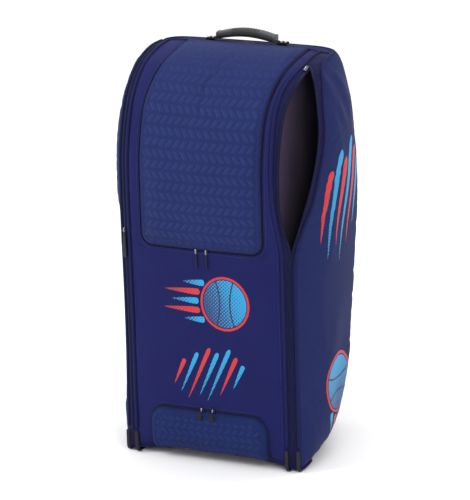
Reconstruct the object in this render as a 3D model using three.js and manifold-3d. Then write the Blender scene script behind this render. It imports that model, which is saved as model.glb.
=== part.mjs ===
// Cricket kit bag: an upright fabric bag on two wheels, with a padded front lid, a low front pocket,
// a long side pocket on each flank and a rubber grip on top. The right side pocket is unzipped.
// Millimetres. X runs across the bag, Y from its front to its back, Z up from the floor.
import * as THREE from "three";
import Module from "manifold-3d";
import { mergeVertices } from "three/addons/utils/BufferGeometryUtils.js";

const wasm = await Module();
wasm.setup();
const { Manifold } = wasm;

// Overall sizes of the body.
const BODY_WIDTH = 410;
const BODY_DEPTH = 370;
const BODY_HEIGHT = 842;
const BASE_ARCH = 15;

// Sheets, seams and the clearance that neighbouring pieces keep.
const CLOTH = 3;
const CLEARANCE = 0.4;
const PIPING_RADIUS = 3.4;
const BAND_WIDTH = 24;
const SEAM_FROM_SIDE = 34;
const BACK_SEAM_FROM_SIDE = 40;
const DIVIDER_INSET = 45;

// Front lid, low pocket and their zips.
const LID_FROM_SEAM = 32;
const LID_BOTTOM = 464;
const LID_REACH = 196;
const LID_CORNER = 22;
const LID_PADDING = 7;
const ZIP_WIDTH = 5;
const ZIP_PROUD = 1.4;
const POCKET_FROM_SEAM = 45;
const POCKET_TOP = 112;
const POCKET_CORNER = 30;
const POCKET_PADDING = 9;

// Sliders and pulls.
const SLIDER_WIDTH = 8;
const SLIDER_LENGTH = 10;
const SLIDER_THICKNESS = 4;
const PULL_WIDTH = 4;
const PULL_LENGTH = 32;
const PULL_THICKNESS = 2.2;
const LEFT_TAB_WIDTH = 14;
const LEFT_TAB_LENGTH = 52;
const LEFT_SLIDER_ABOVE_LID_EDGE = 20;
const PULL_SPACING = 22;

// Feet at the lower ends of the piping.
const FOOT_WIDTH = 9;
const FOOT_HEIGHT = 50;
const FOOT_REACH = 42;
const FOOT_THICKNESS = 4;

// Carrying handle on top.
const GRIP_LENGTH = 132;
const GRIP_DEPTH = 24;
const GRIP_THICKNESS = 13;
const GRIP_RISE = 11;
const GRIP_RIBS = 11;
const STRAP_THICKNESS = 2.4;
const STRAP_RISE = 7;
const ANCHOR_LENGTH = 22;
const ANCHOR_HEIGHT = 5;
const RIVET_RADIUS = 2.6;
const RIVET_HEIGHT = 1.2;

// Wheels under the back edge.
const WHEEL_RADIUS = 38;
const WHEEL_WIDTH = 28;
const WHEEL_FROM_SIDE = 65;
const WHEEL_FROM_FRONT = 292;
const AXLE_RADIUS = 5;
const WHEEL_SIDE_GAP = 6;

// Sizes that follow from those above.
const HALF_WIDTH = BODY_WIDTH / 2;
const FRONT_SEAM = HALF_WIDTH - SEAM_FROM_SIDE;
const BACK_PANEL_HALF = HALF_WIDTH - BACK_SEAM_FROM_SIDE;
const LID_HALF_WIDTH = FRONT_SEAM - LID_FROM_SEAM;
const POCKET_HALF_WIDTH = FRONT_SEAM - POCKET_FROM_SEAM;
const WHEEL_OUTSIDE = HALF_WIDTH - WHEEL_FROM_SIDE;

// Turns rows of numbers into a table with named columns.
function table(columns, rows) {
  const names = columns.split(" ");
  return rows.map((row) => Object.fromEntries(names.map((name, k) => [name, row[k]])));
}

// Each row joins a point of the front and top outline to a point of the base and back outline.
// frontY and backY are shares of the depth, frontZ and backZ of the height, half of the half width,
// and bulge and crown say how far the flanks and the front swell. roundness is the exponent of the
// section's back corners.
const ROWS = table("v frontY frontZ backY backZ half bulge crown roundness", [
  [0.0, 0.022, 0.002, 0.2, 0.005, 0.965, 0.0, 0.0, 4.2],
  [0.04, 0.0, 0.03, 0.41, 0.033, 0.99, 0.02, 0.01, 4.2],
  [0.09, 0.0, 0.083, 0.605, 0.07, 1.005, 0.04, 0.02, 4.3],
  [0.16, 0.0, 0.155, 0.73, 0.125, 1.005, 0.06, 0.03, 4.4],
  [0.25, 0.0, 0.261, 0.86, 0.226, 0.995, 0.08, 0.04, 4.5],
  [0.36, 0.0, 0.392, 0.93, 0.368, 0.99, 0.105, 0.044, 4.5],
  [0.48, 0.0, 0.534, 0.973, 0.534, 0.995, 0.135, 0.05, 4.5],
  [0.6, 0.0, 0.665, 1.0, 0.689, 0.995, 0.165, 0.054, 4.5],
  [0.7, 0.016, 0.778, 0.973, 0.79, 0.995, 0.15, 0.063, 4.3],
  [0.8, 0.103, 0.893, 0.932, 0.873, 0.99, 0.1, 0.083, 3.9],
  [0.88, 0.257, 0.96, 0.878, 0.932, 0.98, 0.045, 0.098, 3.4],
  [0.95, 0.446, 0.988, 0.805, 0.968, 0.96, 0.01, 0.098, 3.2],
  [1.0, 0.608, 0.998, 0.708, 0.991, 0.925, 0.0, 0.078, 3.2],
]);
const FRONT_ROUNDNESS = 8;

// How far the right band's two seams and the two edges of its open mouth stand from the closed seams,
// as shares of the half width, measured round the section. The zip is open from MOUTH_LOW_SHARE to
// MOUTH_HIGH_SHARE.
const MOUTH = table("v frontSeam frontEdge sideEdge sideSeam", [
  [0.46, 0.0, 0.0, 0.0, 0.0],
  [0.5, 0.0, 0.015, 0.06, 0.03],
  [0.55, -0.035, -0.05, 0.145, 0.12],
  [0.6, -0.07, -0.085, 0.235, 0.245],
  [0.65, -0.085, -0.09, 0.33, 0.33],
  [0.7, -0.09, -0.09, 0.395, 0.405],
  [0.75, -0.095, -0.085, 0.41, 0.42],
  [0.8, -0.095, -0.075, 0.35, 0.36],
  [0.85, -0.075, -0.04, 0.235, 0.27],
  [0.9, -0.02, 0.0, 0.085, 0.14],
  [0.93, 0.005, 0.0, 0.0, 0.09],
  [1.0, 0.005, 0.0, 0.0, 0.06],
]);
const MOUTH_LOW_SHARE = 0.46;
const MOUTH_HIGH_SHARE = 0.93;

// The moulded wheel base seen from the side, from its front end round below to its top end. along is
// a share of the way from the front end to the wheel's centre, up a share of the wheel's radius.
const BASE_OUTLINE = table("along up", [
  [0.0, 0.2],
  [0.9, 0.4],
  [1.12, 0.75],
  [1.21, 1.5],
  [1.25, 2.8],
  [1.26, 4.2],
  [1.22, 4.9],
]);

function curve(rows, column, v) {
  let i = rows.findIndex((row) => row.v > v) - 1;
  if (v >= rows[rows.length - 1].v) i = rows.length - 2;
  if (i < 0) i = 0;
  const slope = (j) => {
    const before = rows[Math.max(j - 1, 0)];
    const after = rows[Math.min(j + 1, rows.length - 1)];
    return (after[column] - before[column]) / (after.v - before.v);
  };
  const span = rows[i + 1].v - rows[i].v;
  const u = Math.min(Math.max((v - rows[i].v) / span, 0), 1);
  const start = rows[i][column];
  const end = rows[i + 1][column];
  return (
    start * (1 + 2 * u) * (1 - u) ** 2 +
    end * u * u * (3 - 2 * u) +
    slope(i) * span * u * (1 - u) ** 2 -
    slope(i + 1) * span * u * u * (1 - u)
  );
}

// Half of the section at v, from the middle of the front to the middle of the back, with the length
// run so far at each point.
const SECTION_STEPS = 150;
const sections = new Map();
function section(v) {
  const key = v.toFixed(5);
  if (sections.has(key)) return sections.get(key);
  const at = (column) => curve(ROWS, column, v);
  const front = [at("frontY") * BODY_DEPTH, at("frontZ") * BODY_HEIGHT];
  const back = [at("backY") * BODY_DEPTH, at("backZ") * BODY_HEIGHT];
  const half = at("half") * HALF_WIDTH;
  const crown = at("crown") * HALF_WIDTH;
  const deep = Math.hypot(back[0] - front[0], back[1] - front[1]);
  const along = [(back[0] - front[0]) / deep, (back[1] - front[1]) / deep];
  const points = [];
  let run = 0;
  for (let k = 0; k <= SECTION_STEPS; k++) {
    const turn = (Math.PI * k) / SECTION_STEPS;
    const n = turn < Math.PI / 2 ? FRONT_ROUNDNESS : at("roundness");
    const sin = Math.abs(Math.sin(turn));
    const cos = Math.abs(Math.cos(turn));
    const reach = (sin ** n + cos ** n) ** (-1 / n);
    const across = k % SECTION_STEPS === 0 ? 0 : sin * reach;
    const depth = -Math.cos(turn) * reach;
    const middle = (depth + 1) / 2;
    const swell = 1 + at("bulge") * Math.sin(Math.PI * middle ** 0.9) ** 1.2;
    const lean = (turn < Math.PI / 2 ? -1 : 0.35) * crown * Math.cos((Math.PI * across) / 2);
    const q = (deep / 2) * (1 + depth) + lean;
    const x = half * across * swell;
    const y = front[0] + q * along[0];
    const arch =
      BASE_ARCH *
      Math.cos((Math.PI / 2) * Math.min(x / (0.93 * HALF_WIDTH), 1)) ** 2 *
      Math.max(1 - v / 0.12, 0) ** 1.5 *
      Math.min(Math.max(1 - y / (0.32 * BODY_DEPTH), 0), 1.1);
    const point = { x, y, z: front[1] + q * along[1] + arch, run: 0 };
    if (k > 0) {
      const last = points[k - 1];
      run += Math.hypot(point.x - last.x, point.y - last.y, point.z - last.z);
    }
    point.run = run;
    points.push(point);
  }
  sections.set(key, points);
  return points;
}

function halfGirth(v) {
  return section(v)[SECTION_STEPS].run;
}

// The body's outer skin: v runs from the floor over the front to the top, s is the distance in mm
// round the section from the middle of the front, positive to the bag's right in the picture.
function skin(v, s) {
  const points = section(v);
  const girth = points[SECTION_STEPS].run;
  let side = s < 0 ? -1 : 1;
  let run = Math.abs(s);
  if (run > girth) {
    run = 2 * girth - run;
    side = -side;
  }
  let low = 0;
  let high = SECTION_STEPS;
  while (high - low > 1) {
    const middle = (low + high) >> 1;
    if (points[middle].run <= run) low = middle;
    else high = middle;
  }
  const a = points[low];
  const b = points[high];
  const t = (run - a.run) / (b.run - a.run);
  return new THREE.Vector3(side * (a.x + t * (b.x - a.x)), a.y + t * (b.y - a.y), a.z + t * (b.z - a.z));
}

// Unit vectors on the skin: right along the section, up along the rows, and out of the bag.
function frameAt(v, s) {
  const dv = 0.006;
  const ds = 2.5;
  const right = skin(v, s + ds).sub(skin(v, s - ds)).normalize();
  const up = skin(Math.min(v + dv, 1), s).sub(skin(Math.max(v - dv, 0), s)).normalize();
  const out = new THREE.Vector3().crossVectors(right, up).normalize();
  up.crossVectors(out, right).normalize();
  return { right, up, out };
}

function lifted(v, s, lift) {
  return skin(v, s).addScaledVector(frameAt(v, s).out, lift);
}

function spread(from, to, count) {
  return Array.from({ length: count + 1 }, (_, i) => from + ((to - from) * i) / count);
}

function solidFrom(positions, triangles) {
  const mesh = new wasm.Mesh({
    numProp: 3,
    vertProperties: new Float32Array(positions),
    triVerts: new Uint32Array(triangles),
  });
  mesh.merge();
  return new Manifold(mesh);
}

// A closed slab between two grids of points with the same rows and columns.
function slab(outer, inner) {
  const rows = outer.length;
  const columns = outer[0].length;
  const positions = [];
  for (const grid of [outer, inner]) for (const row of grid) for (const p of row) positions.push(p.x, p.y, p.z);
  const triangles = [];
  const at = (layer, i, j) => layer * rows * columns + i * columns + j;
  const quad = (a, b, c, d) => triangles.push(a, b, c, a, c, d);
  for (let i = 0; i < rows - 1; i++)
    for (let j = 0; j < columns - 1; j++) {
      quad(at(0, i, j), at(0, i, j + 1), at(0, i + 1, j + 1), at(0, i + 1, j));
      quad(at(1, i, j), at(1, i + 1, j), at(1, i + 1, j + 1), at(1, i, j + 1));
    }
  for (let j = 0; j < columns - 1; j++) {
    quad(at(1, 0, j), at(1, 0, j + 1), at(0, 0, j + 1), at(0, 0, j));
    quad(at(0, rows - 1, j), at(0, rows - 1, j + 1), at(1, rows - 1, j + 1), at(1, rows - 1, j));
  }
  for (let i = 0; i < rows - 1; i++) {
    quad(at(0, i, 0), at(0, i + 1, 0), at(1, i + 1, 0), at(1, i, 0));
    quad(at(1, i, columns - 1), at(1, i + 1, columns - 1), at(0, i + 1, columns - 1), at(0, i, columns - 1));
  }
  return solidFrom(positions, triangles);
}

// A piece of sheet on the skin. from and to give its two edges at v, outer and inner its lift off the
// skin at v and s.
function sheet(rows, columns, from, to, outer, inner) {
  const grid = (lift) => rows.map((v) => spread(from(v), to(v), columns).map((s) => lifted(v, s, lift(v, s))));
  return slab(grid(outer), grid(inner));
}

// A round cord along points, with flat ends. outs holds the way out of the bag at each point.
function cord(points, outs, radius, sides) {
  const positions = [];
  const triangles = [];
  points.forEach((p, i) => {
    const before = points[Math.max(i - 1, 0)];
    const after = points[Math.min(i + 1, points.length - 1)];
    const ahead = after.clone().sub(before).normalize();
    const side = new THREE.Vector3().crossVectors(outs[i], ahead).normalize();
    const out = new THREE.Vector3().crossVectors(ahead, side).normalize();
    for (let k = 0; k < sides; k++) {
      const turn = (2 * Math.PI * k) / sides;
      const across = side.clone().multiplyScalar(radius * Math.cos(turn));
      const q = p.clone().add(across).addScaledVector(out, radius * Math.sin(turn));
      positions.push(q.x, q.y, q.z);
    }
  });
  for (let i = 0; i < points.length - 1; i++)
    for (let k = 0; k < sides; k++) {
      const a = i * sides + k;
      const b = i * sides + ((k + 1) % sides);
      triangles.push(a, b, b + sides, a, b + sides, a + sides);
    }
  const last = (points.length - 1) * sides;
  for (let k = 1; k < sides - 1; k++) {
    triangles.push(0, k + 1, k);
    triangles.push(last, last + k, last + k + 1);
  }
  return solidFrom(positions, triangles);
}

// A prism over an outline given either way round.
function extruded(outline, depth) {
  const area = outline.reduce((sum, [x, y], k) => {
    const [nextX, nextY] = outline[(k + 1) % outline.length];
    return sum + x * nextY - nextX * y;
  }, 0);
  return Manifold.extrude([area < 0 ? [...outline].reverse() : outline], depth);
}

// The same for an outline in Y and Z, from one X to another.
function extrudedAcross(outline, fromX, toX) {
  return extruded(outline, toX - fromX).transform([0, 1, 0, 0, 0, 0, 1, 0, 1, 0, 0, 0, fromX, 0, 0, 1]);
}

// A box with its middle at the origin, its vertical edges rounded.
function roundedBox(width, length, thickness, radius) {
  const steps = 3;
  const outline = [];
  for (const [sx, sy, start] of [[1, 1, 0], [-1, 1, 90], [-1, -1, 180], [1, -1, 270]])
    for (let k = 0; k <= steps; k++) {
      const turn = ((start + (90 * k) / steps) * Math.PI) / 180;
      outline.push([
        sx * (width / 2 - radius) + radius * Math.cos(turn),
        sy * (length / 2 - radius) + radius * Math.sin(turn),
      ]);
    }
  return extruded(outline, thickness).translate([0, 0, -thickness / 2]);
}

// A prism along Y whose outline in X and Z is a rectangle with two rounded corners.
function windowPrism(half, low, high, radius, roundTop, fromY, toY) {
  const outline = [];
  const corner = (sx, z, start) => {
    const cz = z === high ? z - radius : z + radius;
    for (let k = 0; k <= 4; k++) {
      const turn = ((start + 22.5 * k) * Math.PI) / 180;
      outline.push([sx * (half - radius) + radius * Math.cos(turn), cz + radius * Math.sin(turn)]);
    }
  };
  if (roundTop) {
    outline.push([-half, low], [half, low]);
    corner(1, high, 0);
    corner(-1, high, 90);
  } else {
    outline.push([half, high], [-half, high]);
    corner(-1, low, 180);
    corner(1, low, 270);
  }
  return extruded(outline, toY - fromY).rotate([90, 0, 0]).translate([0, toY, 0]);
}

// Moves a solid made round the origin onto the skin: its X to the right, its Y up, its Z outwards.
function placed(solid, v, s, lift) {
  const { right, up, out } = frameAt(v, s);
  const at = lifted(v, s, lift);
  return solid.transform([
    right.x, right.y, right.z, 0,
    up.x, up.y, up.z, 0,
    out.x, out.y, out.z, 0,
    at.x, at.y, at.z, 1,
  ]);
}

// The v at which the skin reaches a height on the front, at the distance s from the middle.
function vAtHeight(z, s) {
  let low = 0;
  let high = 0.9;
  for (let k = 0; k < 40; k++) {
    const middle = (low + high) / 2;
    if (skin(middle, s).z < z) low = middle;
    else high = middle;
  }
  return (low + high) / 2;
}

const bag = new THREE.Group();
bag.name = "cricket_kit_bag";

function add(name, solid, colour, roughness, metalness = 0) {
  const mesh = solid.getMesh();
  const geometry = new THREE.BufferGeometry();
  const positions = new Float32Array(mesh.numVert * 3);
  for (let i = 0; i < mesh.numVert; i++)
    positions.set(mesh.vertProperties.subarray(i * mesh.numProp, i * mesh.numProp + 3), i * 3);
  geometry.setAttribute("position", new THREE.BufferAttribute(positions, 3));
  geometry.setIndex(new THREE.BufferAttribute(mesh.triVerts.slice(), 1));
  const merged = mergeVertices(geometry, 1e-4);
  merged.computeVertexNormals();
  const made = new THREE.Mesh(merged, new THREE.MeshStandardMaterial({ color: colour, roughness, metalness }));
  made.name = name;
  bag.add(made);
  return made;
}

const NAVY = "#272d5c";
const LID_BLUE = "#38447a";
const BAND_NAVY = "#1c2046";
const PIPING_NAVY = "#1f2350";
const SIDE_BLUE = "#2b3660";
const LINING = "#231f2e";
const DARK = "#22242c";
const RUBBER = "#2e3234";
const STEEL = "#a8abb0";

// Seams, as distances round the section.
const SEAM_GAP = PIPING_RADIUS + CLEARANCE;
const CROWDED_SHARE = 0.87;
const SIDE_SEAM = FRONT_SEAM + BAND_WIDTH;
const MID_BAND = FRONT_SEAM + BAND_WIDTH / 2;
const mouthShift = (column, v) => (v <= MOUTH_LOW_SHARE ? 0 : curve(MOUTH, column, v) * HALF_WIDTH);
const edgeShift = (column, v) => (v >= MOUTH_HIGH_SHARE ? 0 : mouthShift(column, v));
const rightFrontSeam = (v) => FRONT_SEAM + mouthShift("frontSeam", v);
const rightSideSeam = (v) => SIDE_SEAM + mouthShift("sideSeam", v);
const mouthFrontEdge = (v) => MID_BAND + edgeShift("frontEdge", v);
const mouthSideEdge = (v) => MID_BAND + edgeShift("sideEdge", v);
// The distance round the section that keeps a sheet's edge clear of a cord in the seam. It grows where
// the seam runs aslant, and above CROWDED_SHARE, where the seams draw together at the top.
function clearOf(seam, v) {
  const step = 0.01;
  const ahead = skin(Math.min(v + step, 1), seam(Math.min(v + step, 1)));
  const tangent = ahead.sub(skin(Math.max(v - step, 0), seam(Math.max(v - step, 0)))).normalize();
  const slant = new THREE.Vector3().crossVectors(tangent, frameAt(v, seam(v)).right).length();
  return (SEAM_GAP + CLEARANCE * (v > CROWDED_SHARE ? 3.5 : 0.5)) / slant;
}
const leftFrontSeam = () => -FRONT_SEAM;
const leftSideSeam = () => -SIDE_SEAM;
const beside = (seam, sign) => (v) => seam(v) + sign * clearOf(seam, v);
const backSeam = (v) => halfGirth(v) - BACK_PANEL_HALF * Math.min(1, halfGirth(v) / (2.4 * HALF_WIDTH));

const LOW_SHARE = 0.006;
const HIGH_SHARE = 0.994;
const lowRows = [LOW_SHARE, 0.03, 0.06, 0.1, 0.16, 0.23, 0.31, 0.39];
const mouthRows = spread(MOUTH_LOW_SHARE, MOUTH_HIGH_SHARE, 12);
const bodyRows = [...lowRows, ...mouthRows, 0.955, 0.977, HIGH_SHARE];
const rowsWithin = (from, to) => [from, ...bodyRows.filter((v) => v > from + 0.01 && v < to - 0.01), to];
const flush = () => 0;
const under = () => -CLOTH;

// Front: one sheet from seam to seam, cut out for the lid and its zip.
const lidWindow = (grow) =>
  windowPrism(
    LID_HALF_WIDTH + grow,
    LID_BOTTOM - grow,
    BODY_HEIGHT * 1.2,
    LID_CORNER + grow,
    false,
    -BODY_DEPTH,
    LID_REACH + (grow > ZIP_WIDTH + CLEARANCE ? CLEARANCE : 0),
  );
const frontSheet = (outer, inner) =>
  sheet(bodyRows, 12, beside(leftFrontSeam, 1), beside(rightFrontSeam, -1), outer, inner);
add("front_panel", frontSheet(flush, under).subtract(lidWindow(ZIP_WIDTH + 2 * CLEARANCE)), NAVY, 0.85);
const lidPuff = (v, s) => {
  const edge = Math.min(LID_HALF_WIDTH - Math.abs(s), 40) / 40;
  const rise = Math.min(Math.max(skin(v, s).z - LID_BOTTOM, 0), 40) / 40;
  return 0.8 + (LID_PADDING - CLOTH - 0.8) * Math.sqrt(Math.max(edge, 0) * rise);
};
const lidRows = spread(vAtHeight(LID_BOTTOM - 4 * ZIP_WIDTH, 0), HIGH_SHARE, 13);
const lidBlank = LID_HALF_WIDTH + 3 * ZIP_WIDTH;
const lidSheet = (columns, outer, inner) =>
  sheet(lidRows, columns, () => -lidBlank, () => lidBlank, outer, inner);
add("main_lid", lidSheet(16, lidPuff, under).intersect(lidWindow(0)), LID_BLUE, 0.8);
const lidTape = lidSheet(8, () => -CLEARANCE, () => -CLEARANCE - ZIP_PROUD);
const lidZip = lidTape.intersect(lidWindow(ZIP_WIDTH + CLEARANCE)).subtract(lidWindow(CLEARANCE));
add("lid_zip", lidZip, DARK, 0.6);

// Low pocket on the front, its zip round three sides.
const pocketWindow = (grow) =>
  windowPrism(
    POCKET_HALF_WIDTH + grow,
    -BODY_HEIGHT * 0.1,
    POCKET_TOP + grow,
    POCKET_CORNER + grow,
    true,
    -BODY_DEPTH,
    BODY_DEPTH * 0.2,
  );
const pocketPuff = (v, s) => {
  const edge = Math.min(Math.max(POCKET_HALF_WIDTH - Math.abs(s), 0), 30) / 30;
  const drop = Math.min(Math.max(POCKET_TOP - skin(v, s).z, 0), 30) / 30;
  return 2 * CLEARANCE + 2 + (POCKET_PADDING - 2) * Math.sqrt(edge * drop);
};
const pocketRows = spread(LOW_SHARE, vAtHeight(POCKET_TOP + 5 * ZIP_WIDTH, 0), 7);
const pocketBlank = POCKET_HALF_WIDTH + 2 * ZIP_WIDTH;
const pocketSheet = (columns, outer, inner) =>
  sheet(pocketRows, columns, () => -pocketBlank, () => pocketBlank, outer, inner);
const pocket = pocketSheet(14, pocketPuff, () => 2 * CLEARANCE);
add("lower_pocket", pocket.intersect(pocketWindow(0)), SIDE_BLUE, 0.85);
const pocketTape = pocketSheet(8, () => 2 * CLEARANCE + ZIP_PROUD, () => 2 * CLEARANCE);
const pocketZip = pocketTape.intersect(pocketWindow(ZIP_WIDTH + CLEARANCE)).subtract(pocketWindow(CLEARANCE));
add("pocket_zip", pocketZip, DARK, 0.6);

// Flanks, bands and back.
const wall = (columns, from, to, rows = bodyRows) => sheet(rows, columns, from, to, flush, under);
const edgeGap = CLEARANCE / 2;
const rightBackEdge = (v) => backSeam(v) - edgeGap;
const leftBackEdge = (v) => -backSeam(v) + edgeGap;
const backFrom = (v) => backSeam(v) + edgeGap;
const backTo = (v) => 2 * halfGirth(v) - backSeam(v) - edgeGap;
const frontHalfTo = (v) => mouthFrontEdge(v) - edgeGap;
const sideHalfFrom = (v) => mouthSideEdge(v) + edgeGap;
// The walls round the open pocket are built in three lengths, one above the other, so that each
// length's collision follows its curve and the pocket stays open.
function inLengths(name, cuts, columns, from, to, colour) {
  const ends = [0, ...cuts, 1];
  ["lower", "middle", "upper"].forEach((label, k) => {
    const rows = bodyRows.filter((v) => v > ends[k] + 0.005 && v < ends[k + 1] - 0.005);
    if (k > 0) rows.unshift(ends[k]);
    if (k < 2) rows.push(ends[k + 1] - CLEARANCE / BODY_HEIGHT);
    add(name + "_" + label, wall(columns, from, to, rows), colour, 0.85);
  });
}
const panelCuts = [lowRows[6], mouthRows[3]];
inLengths("right_side_panel", panelCuts, 8, beside(rightSideSeam, 1), rightBackEdge, SIDE_BLUE);
add("left_side_panel", wall(8, leftBackEdge, beside(leftSideSeam, -1)), SIDE_BLUE, 0.85);
add("back_panel", wall(8, backFrom, backTo), NAVY, 0.85);
add("left_zip_band", wall(2, beside(leftSideSeam, 1), beside(leftFrontSeam, -1)), BAND_NAVY, 0.85);
add("right_band_front", wall(2, beside(rightFrontSeam, 1), frontHalfTo), BAND_NAVY, 0.85);
const bandCuts = [mouthRows[3], mouthRows[7]];
inLengths("right_band_side", bandCuts, 2, sideHalfFrom, beside(rightSideSeam, -1), BAND_NAVY);

// Closed zips of the side pockets: a strip laid along the middle of the band.
const zipStrip = (sign, from, to) =>
  sheet(
    rowsWithin(from, to),
    1,
    () => sign * MID_BAND - ZIP_WIDTH / 2,
    () => sign * MID_BAND + ZIP_WIDTH / 2,
    () => 2 * CLEARANCE + ZIP_PROUD,
    () => 2 * CLEARANCE,
  );
const FOOT_SHARE = vAtHeight(FOOT_HEIGHT, SIDE_SEAM);
add("left_zip", zipStrip(-1, FOOT_SHARE, 0.962), DARK, 0.6);
add("right_zip", zipStrip(1, FOOT_SHARE, MOUTH_LOW_SHARE), DARK, 0.6);

// Piping in the four long seams, from the top of the feet to the top panel.
const pipeRows = rowsWithin(FOOT_SHARE + 0.004, HIGH_SHARE);
const piping = (name, seam) =>
  add(
    name,
    cord(
      pipeRows.map((v) => lifted(v, seam(v), 0)),
      pipeRows.map((v) => frameAt(v, seam(v)).out),
      PIPING_RADIUS,
      6,
    ),
    PIPING_NAVY,
    0.7,
  );
piping("piping_left_front", leftFrontSeam);
piping("piping_left_side", leftSideSeam);
piping("piping_right_front", rightFrontSeam);
piping("piping_right_side", rightSideSeam);

// Feet: a moulded strip over the lower end of each seam that turns under the base.
function foot(name, s) {
  const corner = skin(0, s);
  const fromX = corner.x - FOOT_WIDTH / 2;
  const rows = spread(0, FOOT_SHARE - 0.003, 5);
  const ahead = (v) => Math.min(skin(v, s - FOOT_WIDTH / 2).y, skin(v, s + FOOT_WIDTH / 2).y) - CLEARANCE;
  const inner = rows.map(ahead);
  const outer = inner.map((y) => y - FOOT_THICKNESS);
  const heights = rows.map((v) => skin(v, s).z);
  const heel = outer[0] + FOOT_REACH;
  const outline = [[heel, 0], [heel, heights[0] - CLEARANCE], [inner[0], heights[0] - CLEARANCE]];
  for (let k = 1; k < rows.length; k++) outline.push([inner[k], heights[k]]);
  for (let k = rows.length - 1; k > 0; k--) outline.push([outer[k], heights[k]]);
  outline.push([outer[1], FOOT_THICKNESS], [outer[1] + FOOT_THICKNESS, 0]);
  add(name, extrudedAcross(outline, fromX, fromX + FOOT_WIDTH), DARK, 0.6);
}
foot("foot_left_side", -SIDE_SEAM);
foot("foot_left_front", -FRONT_SEAM);
foot("foot_right_front", FRONT_SEAM);
foot("foot_right_side", SIDE_SEAM);

// Top and base: the two end sections, closed by a flat-laid sheet inside the ring of the walls.
function endSheet(v, outwards) {
  const inset = CLOTH + CLEARANCE;
  const points = section(v);
  const half = points.length >> 1;
  const front = points.slice(0, half + 1);
  const back = points.slice(half).reverse();
  const widest = Math.max(...front.map((p) => p.x)) - inset;
  const crossing = (x, part) => {
    for (let k = 0; k < part.length - 1; k++) {
      const [a, b] = [part[k], part[k + 1]];
      if ((a.x - x) * (b.x - x) <= 0 && a.x !== b.x) {
        const t = (x - a.x) / (b.x - a.x);
        return [a.y + t * (b.y - a.y), a.z + t * (b.z - a.z)];
      }
    }
    return [part[0].y, part[0].z];
  };
  const columns = spread(-widest, widest, 16);
  const grid = (drop) =>
    [0, 1].map((t) =>
      columns.map((x) => {
        const edge = Math.min(Math.abs(x) + inset, widest + inset * 0.98);
        const f = crossing(edge, front);
        const b = crossing(edge, back);
        const y = f[0] + inset + t * (b[0] - f[0] - 2 * inset);
        return new THREE.Vector3(x, y, f[1] + ((y - f[0]) / (b[0] - f[0])) * (b[1] - f[1]) + drop);
      }),
    );
  return outwards > 0 ? slab(grid(0), grid(-CLOTH)) : slab(grid(CLOTH), grid(0));
}
add("base_panel", endSheet(LOW_SHARE, -1), NAVY, 0.85);
add("top_panel", endSheet(HIGH_SHARE, 1), NAVY, 0.85);

// Divider of the right side pocket: a wall from the front sheet to the back sheet.
const DIVIDER_X = HALF_WIDTH - DIVIDER_INSET;
const DIVIDER_GAP = 4 * CLEARANCE;
function dividerEdge(v, x, fromBack) {
  const widest = section(v).reduce((best, p) => (p.x > best.x ? p : best)).run;
  let inside = fromBack ? halfGirth(v) : 0;
  let outside = widest;
  for (let k = 0; k < 30; k++) {
    const run = (inside + outside) / 2;
    if (lifted(v, run, -CLOTH - DIVIDER_GAP).x < x) inside = run;
    else outside = run;
  }
  return lifted(v, inside, -CLOTH - DIVIDER_GAP);
}
const dividerGrid = (x) =>
  rowsWithin(0.05, 0.94).map((v) => {
    const front = dividerEdge(v, x, false);
    const back = dividerEdge(v, x, true);
    return spread(0, 1, 2).map((t) => front.clone().lerp(back, t).setX(x));
  });
const divider = slab(dividerGrid(DIVIDER_X + CLOTH / 2), dividerGrid(DIVIDER_X - CLOTH / 2));
add("right_pocket_divider", divider, LINING, 0.7);

// Sliders and pulls. A slider rests on its zip, its pull hangs below it against the cloth.
function slider(name, v, s, lift) {
  const body = roundedBox(SLIDER_WIDTH, SLIDER_LENGTH, SLIDER_THICKNESS, SLIDER_WIDTH / 4);
  add(name, placed(body, v, s, lift + SLIDER_THICKNESS / 2), STEEL, 0.35, 0.9);
}
function pull(name, v, s, width, length, lift) {
  const drop = length / 2 + SLIDER_LENGTH / 2 + CLEARANCE;
  const z = skin(v, s).z - drop;
  const below = vAtHeight(z, s);
  const tab = roundedBox(width, length, PULL_THICKNESS, width * 0.3);
  add(name, placed(tab, below, s, lift + PULL_THICKNESS / 2), DARK, 0.5);
}
const lidSliderV = vAtHeight(LID_BOTTOM - CLEARANCE - SLIDER_LENGTH / 2 - 0.5, 0);
const pocketSliderV = vAtHeight(POCKET_TOP + CLEARANCE + ZIP_WIDTH / 2, 0);
for (const [side, sign] of [["left", -1], ["right", 1]]) {
  const s = (sign * PULL_SPACING) / 2;
  slider("lid_slider_" + side, lidSliderV, s, CLEARANCE);
  pull("lid_pull_" + side, lidSliderV, s, PULL_WIDTH, PULL_LENGTH, CLEARANCE);
  const proud = 2 * CLEARANCE + ZIP_PROUD;
  slider("pocket_slider_" + side, pocketSliderV + 0.008, s * 1.2, proud + 0.6);
  const onPocket = CLEARANCE + POCKET_PADDING;
  pull("pocket_pull_" + side, pocketSliderV, s * 1.2, PULL_WIDTH, PULL_LENGTH * 0.7, onPocket);
}
const leftSliderV = vAtHeight(LID_BOTTOM + LEFT_SLIDER_ABOVE_LID_EDGE, -MID_BAND);
slider("left_slider", leftSliderV, -MID_BAND, 2 * CLEARANCE + ZIP_PROUD);
pull("left_pull", leftSliderV, -MID_BAND, LEFT_TAB_WIDTH, LEFT_TAB_LENGTH, 4 * CLEARANCE + ZIP_PROUD);
slider("right_slider", MOUTH_HIGH_SHARE - 0.012, MID_BAND + 2, CLEARANCE);

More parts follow.
